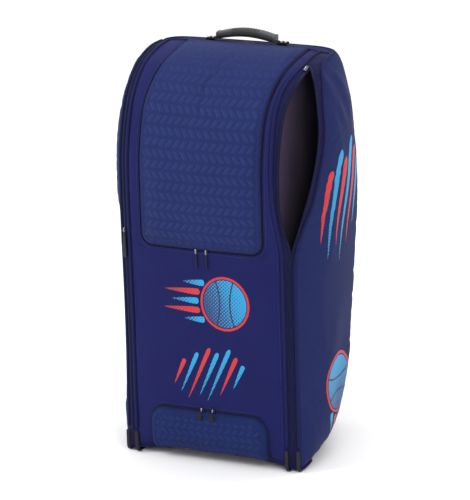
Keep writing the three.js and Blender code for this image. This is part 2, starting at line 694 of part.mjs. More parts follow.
// Handle: a ribbed grip on a strap between two riveted anchors.
const topMiddle = (section(HIGH_SHARE)[0].y + section(HIGH_SHARE)[SECTION_STEPS].y) / 2 + 2;
const topAt = (y) => {
  const f = section(HIGH_SHARE)[0];
  const b = section(HIGH_SHARE)[SECTION_STEPS];
  return f.z + ((y - f.y) / (b.y - f.y)) * (b.z - f.z);
};
const topLevel = topAt(topMiddle - GRIP_DEPTH / 2);
const arc = (x, rise, length) => rise * Math.cos((Math.PI * x) / length);
function archBand(length, depth, low, high, steps, top) {
  const xs = spread(-length / 2, length / 2, steps);
  const outline = [...xs.map((x) => [x, low(x)]), ...[...xs].reverse().map((x) => [x, high(x)])];
  return extruded(outline, depth).rotate([90, 0, 0]).translate([0, topMiddle + depth / 2, top]);
}
const strapBase = topLevel + ANCHOR_HEIGHT - STRAP_THICKNESS;
const strapHalf = GRIP_LENGTH / 2 + 4;
const strapLow = (x) => arc(x, STRAP_RISE, 2 * strapHalf);
add(
  "handle_strap",
  archBand(2 * strapHalf, GRIP_DEPTH * 0.9, strapLow, (x) => strapLow(x) + STRAP_THICKNESS, 16, strapBase),
  DARK,
  0.8,
);
const gripLow = (x) => strapLow(x) + STRAP_THICKNESS + CLEARANCE;
const gripHigh = (x) => {
  const edge = Math.min(Math.abs(x) / (GRIP_LENGTH / 2), 1);
  const thick = GRIP_THICKNESS * (0.62 + 0.38 * Math.sqrt(1 - edge ** 4));
  return gripLow(x) + thick + (GRIP_RISE - STRAP_RISE) * (1 - edge ** 2);
};
let grip = archBand(GRIP_LENGTH, GRIP_DEPTH, gripLow, gripHigh, 24, strapBase);
const ribPitch = (GRIP_LENGTH * 0.52) / GRIP_RIBS;
for (let k = 0; k <= GRIP_RIBS; k++) {
  const x = (k - GRIP_RIBS / 2) * ribPitch;
  const groove = Manifold.cube([ribPitch * 0.4, GRIP_DEPTH * 1.2, 2.4], true);
  grip = grip.subtract(groove.translate([x, topMiddle, strapBase + gripHigh(x) + 0.4]));
}
add("handle_grip", grip, RUBBER, 0.6);
for (const [side, sign] of [["left", -1], ["right", 1]]) {
  const from = strapHalf + CLEARANCE;
  const seat = topLevel + CLEARANCE;
  const anchor = roundedBox(ANCHOR_LENGTH, GRIP_DEPTH, ANCHOR_HEIGHT, ANCHOR_HEIGHT * 0.6);
  const anchorAt = [sign * (from + ANCHOR_LENGTH / 2), topMiddle, seat + ANCHOR_HEIGHT / 2];
  add("handle_anchor_" + side, anchor.translate(anchorAt), RUBBER, 0.5);
  [0.3, 0.7].forEach((share, k) => {
    const rivet = Manifold.cylinder(RIVET_HEIGHT, RIVET_RADIUS, RIVET_RADIUS * 0.8, 12);
    const rivetAt = [sign * (from + share * ANCHOR_LENGTH), topMiddle, seat + ANCHOR_HEIGHT + CLEARANCE];
    add("handle_rivet_" + side + "_" + (k + 1), rivet.translate(rivetAt), STEEL, 0.3, 0.9);
  });
}

// Wheel base, axle and wheels.
const wheelInside = WHEEL_OUTSIDE - WHEEL_WIDTH;
const baseHalf = wheelInside - WHEEL_SIDE_GAP;
const baseStart = section(LOW_SHARE)[SECTION_STEPS].y + 6;
const reach = WHEEL_FROM_FRONT - baseStart;
const below = BASE_OUTLINE.map((row) => [baseStart + row.along * reach, row.up * WHEEL_RADIUS]);
const above = [0.27, 0.235, 0.2, 0.16, 0.125, 0.09, 0.065, 0.04, 0.02].map((v) => {
  const seat = lifted(v, halfGirth(v), 3 * CLEARANCE);
  return [seat.y, seat.z];
});
const profile = [...below, ...above].filter(([y]) => y >= baseStart);
const bore = AXLE_RADIUS + CLEARANCE;
const axleHole = Manifold.cylinder(4 * WHEEL_OUTSIDE, bore, bore, 20, true)
  .rotate([0, 90, 0])
  .translate([0, WHEEL_FROM_FRONT, WHEEL_RADIUS]);
const base = extrudedAcross(profile, -baseHalf, baseHalf).subtract(axleHole);
add("wheel_base", base, DARK, 0.6);
add(
  "wheel_axle",
  Manifold.cylinder(2 * WHEEL_OUTSIDE + 6, AXLE_RADIUS, AXLE_RADIUS, 20, true)
    .rotate([0, 90, 0])
    .translate([0, WHEEL_FROM_FRONT, WHEEL_RADIUS]),
  STEEL,
  0.3,
  0.9,
);
function wheel(name, sign) {
  const half = WHEEL_WIDTH / 2;
  const r = WHEEL_RADIUS;
  const outline = [
    [bore, -half],
    [r * 0.36, -half],
    [r * 0.42, -half * 0.75],
    [r * 0.7, -half],
    [r * 0.93, -half],
    [r, -half * 0.72],
    [r, half * 0.72],
    [r * 0.93, half],
    [r * 0.7, half],
    [r * 0.42, half * 0.75],
    [r * 0.36, half],
    [bore, half],
  ];
  add(
    name,
    Manifold.revolve([outline], 24)
      .rotate([0, 90, 0])
      .translate([sign * (wheelInside + half), WHEEL_FROM_FRONT, WHEEL_RADIUS]),
    DARK,
    0.7,
  );
}
wheel("wheel_left", -1);
wheel("wheel_right", 1);

// The part's frame: the middle of its box at the floor.
const box = new THREE.Box3().setFromObject(bag);
const middle = box.getCenter(new THREE.Vector3());
bag.position.set(-middle.x, -middle.y, -box.min.z);
bag.updateMatrixWorld(true);

export default bag;
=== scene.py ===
# %% [markdown]
# # A wheeled cricket kit bag
# The bag stands upright on two wheels and four moulded feet. Its body is padded polyester, sewn from a
# few large panels, with piping in the long seams. This lesson dresses the imported CAD model: every soft
# panel is worked out again as a fine surface with its folds, seams and stitches, and the hard parts
# get their finer shapes and finishes. First the frame is loaded. The CAD model's parts are kept and
# hidden as they are replaced, so that their boxes can still be read.

import math

import bpy
import numpy as np
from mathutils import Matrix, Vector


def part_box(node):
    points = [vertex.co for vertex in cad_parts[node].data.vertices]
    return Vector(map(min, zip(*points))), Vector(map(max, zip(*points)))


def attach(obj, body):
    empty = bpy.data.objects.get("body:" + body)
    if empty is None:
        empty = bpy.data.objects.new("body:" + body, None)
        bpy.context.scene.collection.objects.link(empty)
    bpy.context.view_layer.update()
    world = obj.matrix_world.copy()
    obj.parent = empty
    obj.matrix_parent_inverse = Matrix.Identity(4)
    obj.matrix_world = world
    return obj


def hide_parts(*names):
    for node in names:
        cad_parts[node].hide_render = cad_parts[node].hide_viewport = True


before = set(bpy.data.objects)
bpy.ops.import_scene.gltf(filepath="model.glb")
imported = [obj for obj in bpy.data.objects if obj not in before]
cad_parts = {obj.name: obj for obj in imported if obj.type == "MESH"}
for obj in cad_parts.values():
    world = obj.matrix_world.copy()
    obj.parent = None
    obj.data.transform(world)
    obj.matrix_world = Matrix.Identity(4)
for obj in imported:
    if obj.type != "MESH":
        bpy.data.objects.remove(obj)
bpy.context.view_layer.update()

# %% [markdown]
# ## Camera
# The picture was taken from the bag's right, a little above its middle, with a long lens. A camera can
# be aimed with a constraint, or its matrix can be written from three directions: to its right, up and
# back. The matrix is used here because the picture also leans by a degree or two.

# %% The camera at the photograph's angle
AZIMUTH, ELEVATION, ROLL = (math.radians(x) for x in (24.95, 17.17, -1.81))
DISTANCE = 6.275
TARGET = np.array([-0.0110, -0.0082, 0.4089])
FOCAL_PIXELS, PICTURE_HEIGHT = 3016.0, 500.0


def camera_axes():
    """Right, up and back: the level pair right and back x right, turned about back by the roll."""
    away = math.cos(ELEVATION)
    back = np.array([math.sin(AZIMUTH) * away, -math.cos(AZIMUTH) * away, math.sin(ELEVATION)])
    level = np.array([math.cos(AZIMUTH), math.sin(AZIMUTH), 0.0])
    up = np.cross(back, level)
    right = level * math.cos(ROLL) + up * math.sin(ROLL)
    return right, np.cross(back, right), back


right, up, back = camera_axes()
lens = bpy.data.cameras.new("photo_camera")
lens.sensor_fit = "VERTICAL"
lens.sensor_height = 36.0
lens.lens = 36.0 * FOCAL_PIXELS / PICTURE_HEIGHT
camera = bpy.data.objects.new("photo_camera", lens)
placed = np.eye(4)
placed[:3, 0], placed[:3, 1], placed[:3, 2] = right, up, back
placed[:3, 3] = TARGET + DISTANCE * back
camera.matrix_world = placed.T.tolist()
bpy.context.collection.objects.link(camera)
bpy.context.scene.camera = camera
print("camera at", placed[:3, 3].round(3), "lens", round(lens.lens, 1))

# %% [markdown]
# ## The body's skin
# A soft bag is easiest to build when all its panels share one surface. Each row of the table joins a
# point of the front and top outline to a point of the base and back outline, and the section between
# them is a rounded rectangle that swells at its flanks. A place on the skin is given by v, the way
# from the floor over the front to the top, and s, the distance in millimetres round the section from
# the middle of the front. Panels, seams, stitches and prints are all placed by v and s.

# %% Sizes of the body, in millimetres
MM = 0.001
WIDTH, DEPTH, HEIGHT, BASE_ARCH = 410.0, 370.0, 842.0, 31.0
HALF = WIDTH / 2
SHIFT = np.array([-0.238, -178.208, 0.0])
FRONT_SEAM, SIDE_SEAM, MID_BAND = 171.0, 195.0, 183.0
BACK_HALF = 165.0
LOW, HIGH = 0.006, 0.994
MOUTH_LOW, MOUTH_HIGH = 0.46, 0.93


def table(columns, rows):
    """Rows of numbers as one array for each named column."""
    return dict(zip(columns.split(), np.array(rows, float).T))


ROWS = table(
    "v frontY frontZ backY backZ half bulge crown roundness",
    [
        [0.0, 0.022, 0.002, 0.2, 0.005, 0.965, 0.0, 0.0, 4.2],
        [0.04, 0.0, 0.03, 0.41, 0.033, 0.99, 0.02, 0.01, 4.2],
        [0.09, 0.0, 0.083, 0.605, 0.07, 1.005, 0.04, 0.02, 4.3],
        [0.16, 0.0, 0.155, 0.73, 0.125, 1.005, 0.06, 0.03, 4.4],
        [0.25, 0.0, 0.261, 0.86, 0.226, 0.995, 0.08, 0.04, 4.5],
        [0.36, 0.0, 0.392, 0.93, 0.368, 0.99, 0.105, 0.044, 4.5],
        [0.48, 0.0, 0.534, 0.973, 0.534, 0.995, 0.135, 0.05, 4.5],
        [0.6, 0.0, 0.665, 1.0, 0.689, 0.995, 0.165, 0.054, 4.5],
        [0.7, 0.016, 0.778, 0.973, 0.79, 0.995, 0.15, 0.063, 4.3],
        [0.8, 0.103, 0.893, 0.932, 0.873, 0.99, 0.1, 0.083, 3.9],
        [0.88, 0.257, 0.96, 0.878, 0.932, 0.98, 0.045, 0.098, 3.4],
        [0.95, 0.446, 0.988, 0.805, 0.968, 0.96, 0.01, 0.098, 3.2],
        [1.0, 0.608, 0.998, 0.708, 0.991, 0.925, 0.0, 0.078, 3.2],
    ],
)
MOUTH = table(
    "v frontSeam frontEdge sideEdge sideSeam",
    [
        [0.46, 0.0, 0.0, 0.0, 0.0],
        [0.5, 0.0, 0.015, 0.06, 0.03],
        [0.55, -0.035, -0.05, 0.145, 0.12],
        [0.6, -0.07, -0.085, 0.235, 0.245],
        [0.65, -0.085, -0.09, 0.33, 0.33],
        [0.7, -0.09, -0.09, 0.395, 0.405],
        [0.75, -0.095, -0.085, 0.41, 0.42],
        [0.8, -0.095, -0.075, 0.35, 0.36],
        [0.85, -0.075, -0.04, 0.235, 0.27],
        [0.9, -0.02, 0.0, 0.085, 0.14],
        [0.93, 0.005, 0.0, 0.0, 0.09],
        [1.0, 0.005, 0.0, 0.0, 0.06],
    ],
)


# %% The skin as a function of v and s
def curve(rows, column, v):
    """A smooth line through a column: in each span a cubic that keeps its neighbours' slopes."""
    at, value = rows["v"], rows[column]
    k = np.arange(len(at))
    before, after = np.maximum(k - 1, 0), np.minimum(k + 1, len(at) - 1)
    slope = (value[after] - value[before]) / (at[after] - at[before])
    i = np.clip(np.searchsorted(at, v, side="right") - 1, 0, len(at) - 2)
    span = at[i + 1] - at[i]
    u = np.clip((v - at[i]) / span, 0, 1)
    ends = value[i] * (1 + 2 * u) * (1 - u) ** 2 + value[i + 1] * u * u * (3 - 2 * u)
    return ends + slope[i] * span * u * (1 - u) ** 2 - slope[i + 1] * span * u * u * (1 - u)


def sections(v, turns):
    """Half sections, one for each v. A point at the angle turn lies on the rounded rectangle
    (|sin|^n + |cos|^n)^(-1/n), swollen by 1 + bulge sin(pi middle^0.9)^1.2 and leaning out by crown.
    The front's lower edge is arched between the feet by BASE_ARCH cos(pi/2 q^3)^2, where q is the
    share of the way out to the feet, so that the arch has a nearly level middle."""
    v, turn = np.meshgrid(v, turns, indexing="ij")
    at = {name: curve(ROWS, name, v) for name in ROWS}
    front = np.stack([at["frontY"] * DEPTH, at["frontZ"] * HEIGHT], -1)
    behind = np.stack([at["backY"] * DEPTH, at["backZ"] * HEIGHT], -1)
    deep = np.linalg.norm(behind - front, axis=-1)
    along = (behind - front) / deep[..., None]
    in_front = turn < np.pi / 2
    n = np.where(in_front, 8.0, at["roundness"])
    sin, cos = np.abs(np.sin(turn)), np.abs(np.cos(turn))
    reach = (sin**n + cos**n) ** (-1 / n)
    across, depth = sin * reach, -np.cos(turn) * reach
    across[:, [0, -1]] = 0
    middle = np.clip((depth + 1) / 2, 0, 1)
    swell = 1 + at["bulge"] * np.maximum(np.sin(np.pi * middle**0.9), 0) ** 1.2
    lean = np.where(in_front, -1, 0.35) * at["crown"] * HALF * np.cos(np.pi / 2 * across)
    q = deep / 2 * (1 + depth) + lean
    x = at["half"] * HALF * across * swell
    y = front[..., 0] + q * along[..., 0]
    arch = BASE_ARCH * np.cos(np.pi / 2 * np.minimum(x / (0.93 * HALF), 1) ** 3) ** 2
    arch = arch * np.maximum(1 - v / 0.12, 0) ** 1.5 * np.clip(1 - y / (0.32 * DEPTH), 0, 1.1)
    return np.stack([x, y, front[..., 1] + q * along[..., 1] + arch], -1)


ROW_STEPS, RUN_STEPS = 500, 600
CORNER_DROOP, CORNER_PLACE, CORNER_REACH = 9.0, 196.0, 34.0


def even_sections():
    """The half sections with their points set at even shares of the distance round them."""
    raw = sections(np.linspace(0, 1, ROW_STEPS + 1), np.linspace(0, np.pi, 361))
    steps = np.linalg.norm(np.diff(raw, axis=1), axis=-1)
    runs = np.concatenate([np.zeros((len(raw), 1)), np.cumsum(steps, axis=1)], axis=1)
    shares = np.linspace(0, 1, RUN_STEPS + 1)
    even = [[np.interp(shares * run[-1], run, row[:, k]) for k in range(3)] for run, row in zip(runs, raw)]
    return np.array(even).transpose(0, 2, 1), runs[:, -1]


SKIN, GIRTH = even_sections()


def half_girth(v):
    """The distance in mm from the middle of the front round to the middle of the back."""
    return np.interp(v, np.linspace(0, 1, ROW_STEPS + 1), GIRTH)


def skin(v, s):
    """Points of the skin in metres, between the four nearest points of the even sections. The soft
    top corners droop by 9 mm exp(-((|s| - 196) / 34)^2), growing from v 0.93 to the top."""
    v, s = np.broadcast_arrays(np.asarray(v, float), np.asarray(s, float))
    row = np.clip(v, 0, 1) * ROW_STEPS
    i = np.minimum(row.astype(int), ROW_STEPS - 1)
    share = (row - i)[..., None]

    def on_row(j):
        girth = GIRTH[j]
        run = np.abs(s)
        past = run > girth
        side = np.where(s < 0, -1.0, 1.0) * np.where(past, -1.0, 1.0)
        place = np.clip(np.where(past, 2 * girth - run, run) / girth, 0, 1) * RUN_STEPS
        k = np.minimum(place.astype(int), RUN_STEPS - 1)
        t = (place - k)[..., None]
        point = SKIN[j, k] * (1 - t) + SKIN[j, k + 1] * t
        return point * np.stack([side, np.ones_like(side), np.ones_like(side)], -1)

    point = on_row(i) * (1 - share) + on_row(i + 1) * share + SHIFT
    rise = np.clip((v - 0.93) / 0.07, 0, 1) ** 1.5
    point[..., 2] -= CORNER_DROOP * rise * np.exp(-(((np.abs(s) - CORNER_PLACE) / CORNER_REACH) ** 2))
    return point * MM


def unit(a):
    """Vectors of length 1 along the given ones."""
    return a / np.maximum(np.linalg.norm(a, axis=-1, keepdims=True), 1e-12)


def frame_at(v, s):
    """Right along the section, up along the rows and out of the bag, from the skin's differences."""
    v, s = np.broadcast_arrays(np.asarray(v, float), np.asarray(s, float))
    right = unit(skin(v, s + 2.5) - skin(v, s - 2.5))
    rise = unit(skin(np.minimum(v + 0.006, 1), s) - skin(np.maximum(v - 0.006, 0), s))
    out = unit(np.cross(right, rise))
    return right, np.cross(out, right), out


def lifted(v, s, lift):
    """Points that stand lift millimetres off the skin."""
    v, s, lift = np.broadcast_arrays(np.asarray(v, float), np.asarray(s, float), np.asarray(lift, float))
    return skin(v, s) + frame_at(v, s)[2] * lift[..., None] * MM


def v_at_height(z, s=0.0):
    """The v at which the skin reaches a height in mm on the front, at the distance s."""
    ladder = np.linspace(0, 0.9, 1801)
    return np.interp(z, skin(ladder, np.full_like(ladder, s))[:, 2] / MM, ladder)


print("skin", SKIN.shape, "girth", GIRTH.min().round(), "to", GIRTH.max().round(), "mm")


# %% Seams, as functions of v
def mouth_shift(column, v):
    return np.where(v <= MOUTH_LOW, 0.0, curve(MOUTH, column, v) * HALF)


def right_front_seam(v):
    return FRONT_SEAM + mouth_shift("frontSeam", v)


def right_side_seam(v):
    return SIDE_SEAM + mouth_shift("sideSeam", v)


def mouth_front_edge(v):
    return MID_BAND + np.where(v >= MOUTH_HIGH, 0.0, mouth_shift("frontEdge", v))


def mouth_side_edge(v):
    return MID_BAND + np.where(v >= MOUTH_HIGH, 0.0, mouth_shift("sideEdge", v))


def left_front_seam(v):
    return -FRONT_SEAM + 0 * v


def left_side_seam(v):
    return -SIDE_SEAM + 0 * v


def back_seam(v):
    girth = half_girth(v)
    return girth - BACK_HALF * np.minimum(1, girth / (2.4 * HALF))


# %% [markdown]
# ## From grids to meshes
# Every soft piece is a slab between two grids of points, an outer and an inner one, closed round its
# edges. Solidify could give the thickness too, but here the inner side gets its own lining and its
# own folds, so both grids are worked out. A second helper sweeps a profile along a path for piping,
# webbing and moulded strips, and a third sets a small template many times along a path for zip teeth
# and stitches.


# %% Mesh helpers
def link_mesh(name, points, faces, body="bag", uv=None, marks=None, kinds=None, materials=(), sharp=50):
    """A smooth-shaded mesh from arrays of points and of faces, with its UV map and marks."""
    mesh = bpy.data.meshes.new(name)
    mesh.from_pydata(np.asarray(points).tolist(), [], [f.tolist() for f in faces])
    for material in materials:
        mesh.materials.append(material)
    corners = np.empty(len(mesh.loops), dtype=np.int32)
    mesh.loops.foreach_get("vertex_index", corners)
    if uv is not None:
        layer = mesh.uv_layers.new(name="cloth")
        layer.uv.foreach_set("vector", np.asarray(uv, np.float32)[corners].ravel())
    for key, values in (marks or {}).items():
        attribute = mesh.attributes.new(key, "FLOAT", "POINT")
        attribute.data.foreach_set("value", np.asarray(values, np.float32).ravel())
    if kinds is not None:
        mesh.polygons.foreach_set("material_index", np.asarray(kinds, np.int32))
    mesh.polygons.foreach_set("use_smooth", np.ones(len(mesh.polygons), dtype=bool))
    mesh.update()
    mesh.set_sharp_from_angle(angle=math.radians(sharp))
    piece = bpy.data.objects.new(name, mesh)
    bpy.context.collection.objects.link(piece)
    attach(piece, body)
    return piece


def quads(rows, columns, wrap=False):
    """The faces of a grid, counter-clockwise when columns run to the right and rows run up."""
    index = np.arange(rows * columns).reshape(rows, columns)
    if wrap:
        index = np.concatenate([index, index[:, :1]], axis=1)
    return np.stack([index[:-1, :-1], index[:-1, 1:], index[1:, 1:], index[1:, :-1]], -1).reshape(-1, 4)


def slab(name, outer, inner, uv, materials, marks):
    """A closed slab: the outer grid, the inner grid turned round, and a strip along their borders."""
    rows, columns = outer.shape[:2]
    count = rows * columns
    top = quads(rows, columns)
    index = np.arange(count).reshape(rows, columns)
    ring = np.concatenate([index[0], index[1:, -1], index[-1, -2::-1], index[-2:0:-1, 0]])
    border = np.stack([ring, ring + count, np.roll(ring, -1) + count, np.roll(ring, -1)], -1)
    faces = np.concatenate([top, top[:, ::-1] + count, border])
    points = np.concatenate([outer.reshape(-1, 3), inner.reshape(-1, 3)])
    kinds = np.concatenate([np.zeros(len(top)), np.ones(len(top)), np.ones(len(border))])
    both = {key: np.tile(np.ravel(value), 2) for key, value in marks.items()}
    flat_uv = np.tile(uv.reshape(-1, 2), (2, 1))
    return link_mesh(name, points, faces, "bag", flat_uv, both, kinds, materials)


def tangents(path):
    """Directions along a path, from each point's neighbours."""
    return unit(np.gradient(path, axis=0))


def tube_faces(rows, columns):
    """The faces of a tube of rings, closed by fans round two middle points that follow the rings."""
    count = rows * columns
    k = np.arange(columns)
    after = (k + 1) % columns
    low = np.stack([np.full(columns, count), after, k], -1)
    high = np.stack([np.full(columns, count + 1), k + count - columns, after + count - columns], -1)
    return [*quads(rows, columns, wrap=True), *low, *high]


def sweep(name, path, outs, profile, materials, scale=None):
    """A tube: the profile's (side, out) offsets at each point of the path, its ends closed flat."""
    ahead = tangents(path)
    side = unit(np.cross(outs, ahead))
    out = np.cross(ahead, side)
    size = np.ones(len(path)) if scale is None else scale
    ring = profile[None, :, :] * np.asarray(size)[:, None, None]
    points = path[:, None] + ring[..., :1] * side[:, None] + ring[..., 1:] * out[:, None]
    rows, columns = points.shape[:2]
    points = np.concatenate([points.reshape(-1, 3), path[:1], path[-1:]])
    run = np.concatenate([[0], np.cumsum(np.linalg.norm(np.diff(path, axis=0), axis=-1))])
    girth = np.linalg.norm(np.diff(profile, axis=0), axis=-1).sum() * columns / max(columns - 1, 1)
    uv = np.stack(np.broadcast_arrays(np.linspace(0, girth, columns)[None, :], run[:, None]), -1)
    uv = np.concatenate([uv.reshape(-1, 2), [[0, run[0]], [0, run[-1]]]])
    return link_mesh(name, points, tube_faces(rows, columns), uv=uv, materials=materials)


def ring_profile(radius, sides):
    """A circle as (side, out) offsets in metres from a radius in mm."""
    turn = np.arange(sides) * 2 * np.pi / sides
    return np.stack([np.cos(turn), np.sin(turn)], -1) * radius * MM


def box_profile(wide, thick, rounding, steps=3):
    """A rectangle with rounded corners as (side, out) offsets in metres."""
    turn = np.concatenate([np.linspace(0, np.pi / 2, steps + 1) + k * np.pi / 2 for k in range(4)])
    corner = np.repeat(np.array([[1, 1], [-1, 1], [-1, -1], [1, -1]]), steps + 1, axis=0)
    centre = corner * (np.array([wide, thick]) / 2 - rounding)
    return (centre + rounding * np.stack([np.cos(turn), np.sin(turn)], -1)) * MM


def evenly(path, pitch):
    """Places along a path at an even pitch in metres: an index with its share, for interpolation."""
    run = np.concatenate([[0], np.cumsum(np.linalg.norm(np.diff(path, axis=0), axis=-1))])
    stops = np.arange(pitch / 2, run[-1] - pitch / 2, pitch)
    return np.interp(stops, run, np.arange(len(path)))


def at_places(values, places):
    """Rows of an array read between its indices."""
    i = np.clip(places.astype(int), 0, len(values) - 2)
    t = (places - i)[:, None]
    return values[i] * (1 - t) + values[i + 1] * t


def repeat_along(name, paths, template, faces, pitch, materials):
    """A template of (side, ahead, out) offsets set along each path of points and outs."""
    points = []
    for path, outs in paths:
        places = evenly(path, pitch)
        centre, out = at_places(path, places), unit(at_places(outs, places))
        ahead = unit(at_places(tangents(path), places))
        side = unit(np.cross(ahead, out))
        axes = np.stack([side, ahead, np.cross(side, ahead)], 1)
        points.append(centre[:, None] + template[None] @ axes)
    points = np.concatenate(points)
    count = len(points)
    size = template.shape[0]
    all_faces = (np.asarray(faces)[None] + np.arange(count)[:, None, None] * size).reshape(-1, 4)
    piece = link_mesh(name, points.reshape(-1, 3), all_faces, materials=materials)
    print(name, count, "repeats")
    return piece


def brick(wide, long, thick, taper=0.7):
    """A low block with a narrower top: two rings of four corners, as offsets in metres."""
    base = np.array([[-1, -1], [1, -1], [1, 1], [-1, 1]]) / 2 * np.array([wide, long])
    rings = [
        np.column_stack([base, np.zeros(4)]),
        np.column_stack([base, np.full(4, thick * 0.6)]),
        np.column_stack([base * taper, np.full(4, thick)]),
    ]
    points = np.concatenate(rings) * MM
    k = np.arange(4)
    after = (k + 1) % 4
    walls = [np.stack([k + low, after + low, after + low + 4, k + low + 4], -1) for low in (0, 4)]
    caps = np.array([[3, 2, 1, 0], [8, 9, 10, 11]])
    return points, np.concatenate([*walls, caps])


# %% [markdown]
# ## Cloth finishes
# The panels are plain-woven polyester with a soft sheen. Up close it is a grid of fine threads, from
# afar a deep navy. Painted shade makes the colour darker in the seams and along sewn edges, and a
# painted highlight makes it a little lighter on the crowns of the threads. The weave could be drawn
# by a wave texture, but a product of two sines gives the over-and-under of the threads directly. It
# is built once as a node group and placed in every cloth with its own pitch.


# %% Node helpers and the shared groups
def new_node(tree, kind, **settings):
    """A node with its plain settings made."""
    made = tree.nodes.new(kind)
    for key, value in settings.items():
        setattr(made, key, value)
    return made


def math_node(tree, operation, first, second=None, clamp=False):
    """A Math node whose inputs are numbers or other nodes' outputs."""
    made = new_node(tree, "ShaderNodeMath", operation=operation, use_clamp=clamp)
    for socket, value in zip(made.inputs, (first, second)):
        if value is None:
            continue
        if isinstance(value, (int, float)):
            socket.default_value = value
        else:
            tree.links.new(value, socket)
    return made.outputs[0]


def start_group(name, inputs, outputs):
    """A shader node group with named sockets. Inputs and outputs are (name, type, default)."""
    tree = bpy.data.node_groups.new(name, "ShaderNodeTree")
    for label, kind, value in inputs:
        socket = tree.interface.new_socket(label, in_out="INPUT", socket_type=kind)
        if value is not None:
            socket.default_value = value
    for label, kind in outputs:
        tree.interface.new_socket(label, in_out="OUTPUT", socket_type=kind)
    return tree, new_node(tree, "NodeGroupInput").outputs, new_node(tree, "NodeGroupOutput").inputs


def weave_group():
    """Thread height 0.5 + 0.5 sin(2 pi x / pitch) sin(2 pi y / pitch) on the cloth's UV, in metres."""
    tree, given, out = start_group(
        "Weave",
        [("Vector", "NodeSocketVector", None), ("Threads per metre", "NodeSocketFloat", 700.0)],
        [("Height", "NodeSocketFloat")],
    )
    split = new_node(tree, "ShaderNodeSeparateXYZ")
    tree.links.new(given["Vector"], split.inputs[0])
    waves = []
    for axis in (0, 1):
        turns = math_node(tree, "MULTIPLY", split.outputs[axis], given["Threads per metre"])
        waves.append(math_node(tree, "SINE", math_node(tree, "MULTIPLY", turns, math.pi)))
    product = math_node(tree, "MULTIPLY", waves[0], waves[1])
    height = math_node(tree, "ADD", math_node(tree, "MULTIPLY", product, 0.5), 0.5)
    tree.links.new(height, out["Height"])
    return tree


def mottle_group():
    """Broad unevenness and fine lint: two noises in the piece's Object coordinates. Lint keeps only
    the peaks of the fine one."""
    tree, given, out = start_group(
        "Mottle",
        [("Vector", "NodeSocketVector", None), ("Patches per metre", "NodeSocketFloat", 9.0)],
        [("Patches", "NodeSocketFloat"), ("Lint", "NodeSocketFloat")],
    )
    broad = new_node(tree, "ShaderNodeTexNoise")
    broad.inputs["Detail"].default_value = 3.0
    tree.links.new(given["Vector"], broad.inputs["Vector"])
    tree.links.new(given["Patches per metre"], broad.inputs["Scale"])
    fine = new_node(tree, "ShaderNodeTexNoise")
    fine.inputs["Scale"].default_value = 420.0
    fine.inputs["Detail"].default_value = 1.0
    tree.links.new(given["Vector"], fine.inputs["Vector"])
    tree.links.new(broad.outputs["Fac"], out["Patches"])
    above = math_node(tree, "SUBTRACT", fine.outputs["Fac"], 0.66)
    lint = math_node(tree, "MULTIPLY", above, 6.0, clamp=True)
    tree.links.new(lint, out["Lint"])
    return tree


def herringbone_group():
    """Double strokes in rows that lean to and fro. With x and y in stroke pitches and row heights, a
    stroke's place is x + lean (y - row), where lean is +1 or -1 in turn, and two thin lines are drawn
    in each place, from 14 to 86 hundredths of the row."""
    tree, given, out = start_group(
        "Herringbone",
        [
            ("Vector", "NodeSocketVector", None),
            ("Strokes per metre", "NodeSocketFloat", 62.0),
            ("Rows per metre", "NodeSocketFloat", 44.0),
        ],
        [("Mask", "NodeSocketFloat")],
    )
    split = new_node(tree, "ShaderNodeSeparateXYZ")
    tree.links.new(given["Vector"], split.inputs[0])
    x = math_node(tree, "MULTIPLY", split.outputs[0], given["Strokes per metre"])
    y = math_node(tree, "MULTIPLY", split.outputs[1], given["Rows per metre"])
    row = math_node(tree, "FLOOR", y)
    within = math_node(tree, "SUBTRACT", y, row)
    odd = math_node(tree, "PINGPONG", row, 1.0)
    lean = math_node(tree, "SUBTRACT", math_node(tree, "MULTIPLY", odd, 2.0), 1.0)
    slant = math_node(tree, "MULTIPLY", lean, math_node(tree, "MULTIPLY", within, 0.9))
    place = math_node(tree, "FRACT", math_node(tree, "ADD", x, slant))
    lines = []
    for centre, wide in ((0.3, 0.11), (0.62, 0.07)):
        away = math_node(tree, "ABSOLUTE", math_node(tree, "SUBTRACT", place, centre))
        lines.append(math_node(tree, "MULTIPLY", math_node(tree, "SUBTRACT", wide, away), 30.0, clamp=True))
    both = math_node(tree, "MAXIMUM", lines[0], lines[1])
    far = math_node(tree, "ABSOLUTE", math_node(tree, "SUBTRACT", within, 0.5))
    inside = math_node(tree, "MULTIPLY", math_node(tree, "SUBTRACT", 0.36, far), 16.0, clamp=True)
    tree.links.new(math_node(tree, "MULTIPLY", both, inside), out["Mask"])
    return tree


WEAVE, MOTTLE, HERRINGBONE = weave_group(), mottle_group(), herringbone_group()


def linear(colour):
    """A screen colour of 0..255 as the linear colour that shaders use."""
    c = np.array(colour, float) / 255
    return tuple(np.where(c <= 0.04045, c / 12.92, ((c + 0.055) / 1.055) ** 2.4)) + (1.0,)


def mix_colours(tree, factor, first, second):
    """A colour mixed by a mask. first and second are colours or outputs."""
    made = new_node(tree, "ShaderNodeMix", data_type="RGBA")
    colours = [socket for socket in made.inputs if socket.type == "RGBA"]
    tree.links.new(factor, made.inputs["Factor"])
    for socket, value in zip(colours, (first, second)):
        if isinstance(value, tuple):
            socket.default_value = value
        else:
            tree.links.new(value, socket)
    return next(socket for socket in made.outputs if socket.type == "RGBA")


def start_material(name, roughness, metallic=0.0):
    """A material with its Principled shader, whose constants are set on its own sockets."""
    made = bpy.data.materials.new(name)
    made.use_nodes = True
    tree = made.node_tree
    shader = tree.nodes["Principled BSDF"]
    shader.inputs["Roughness"].default_value = roughness
    shader.inputs["Metallic"].default_value = metallic
    return made, tree, shader


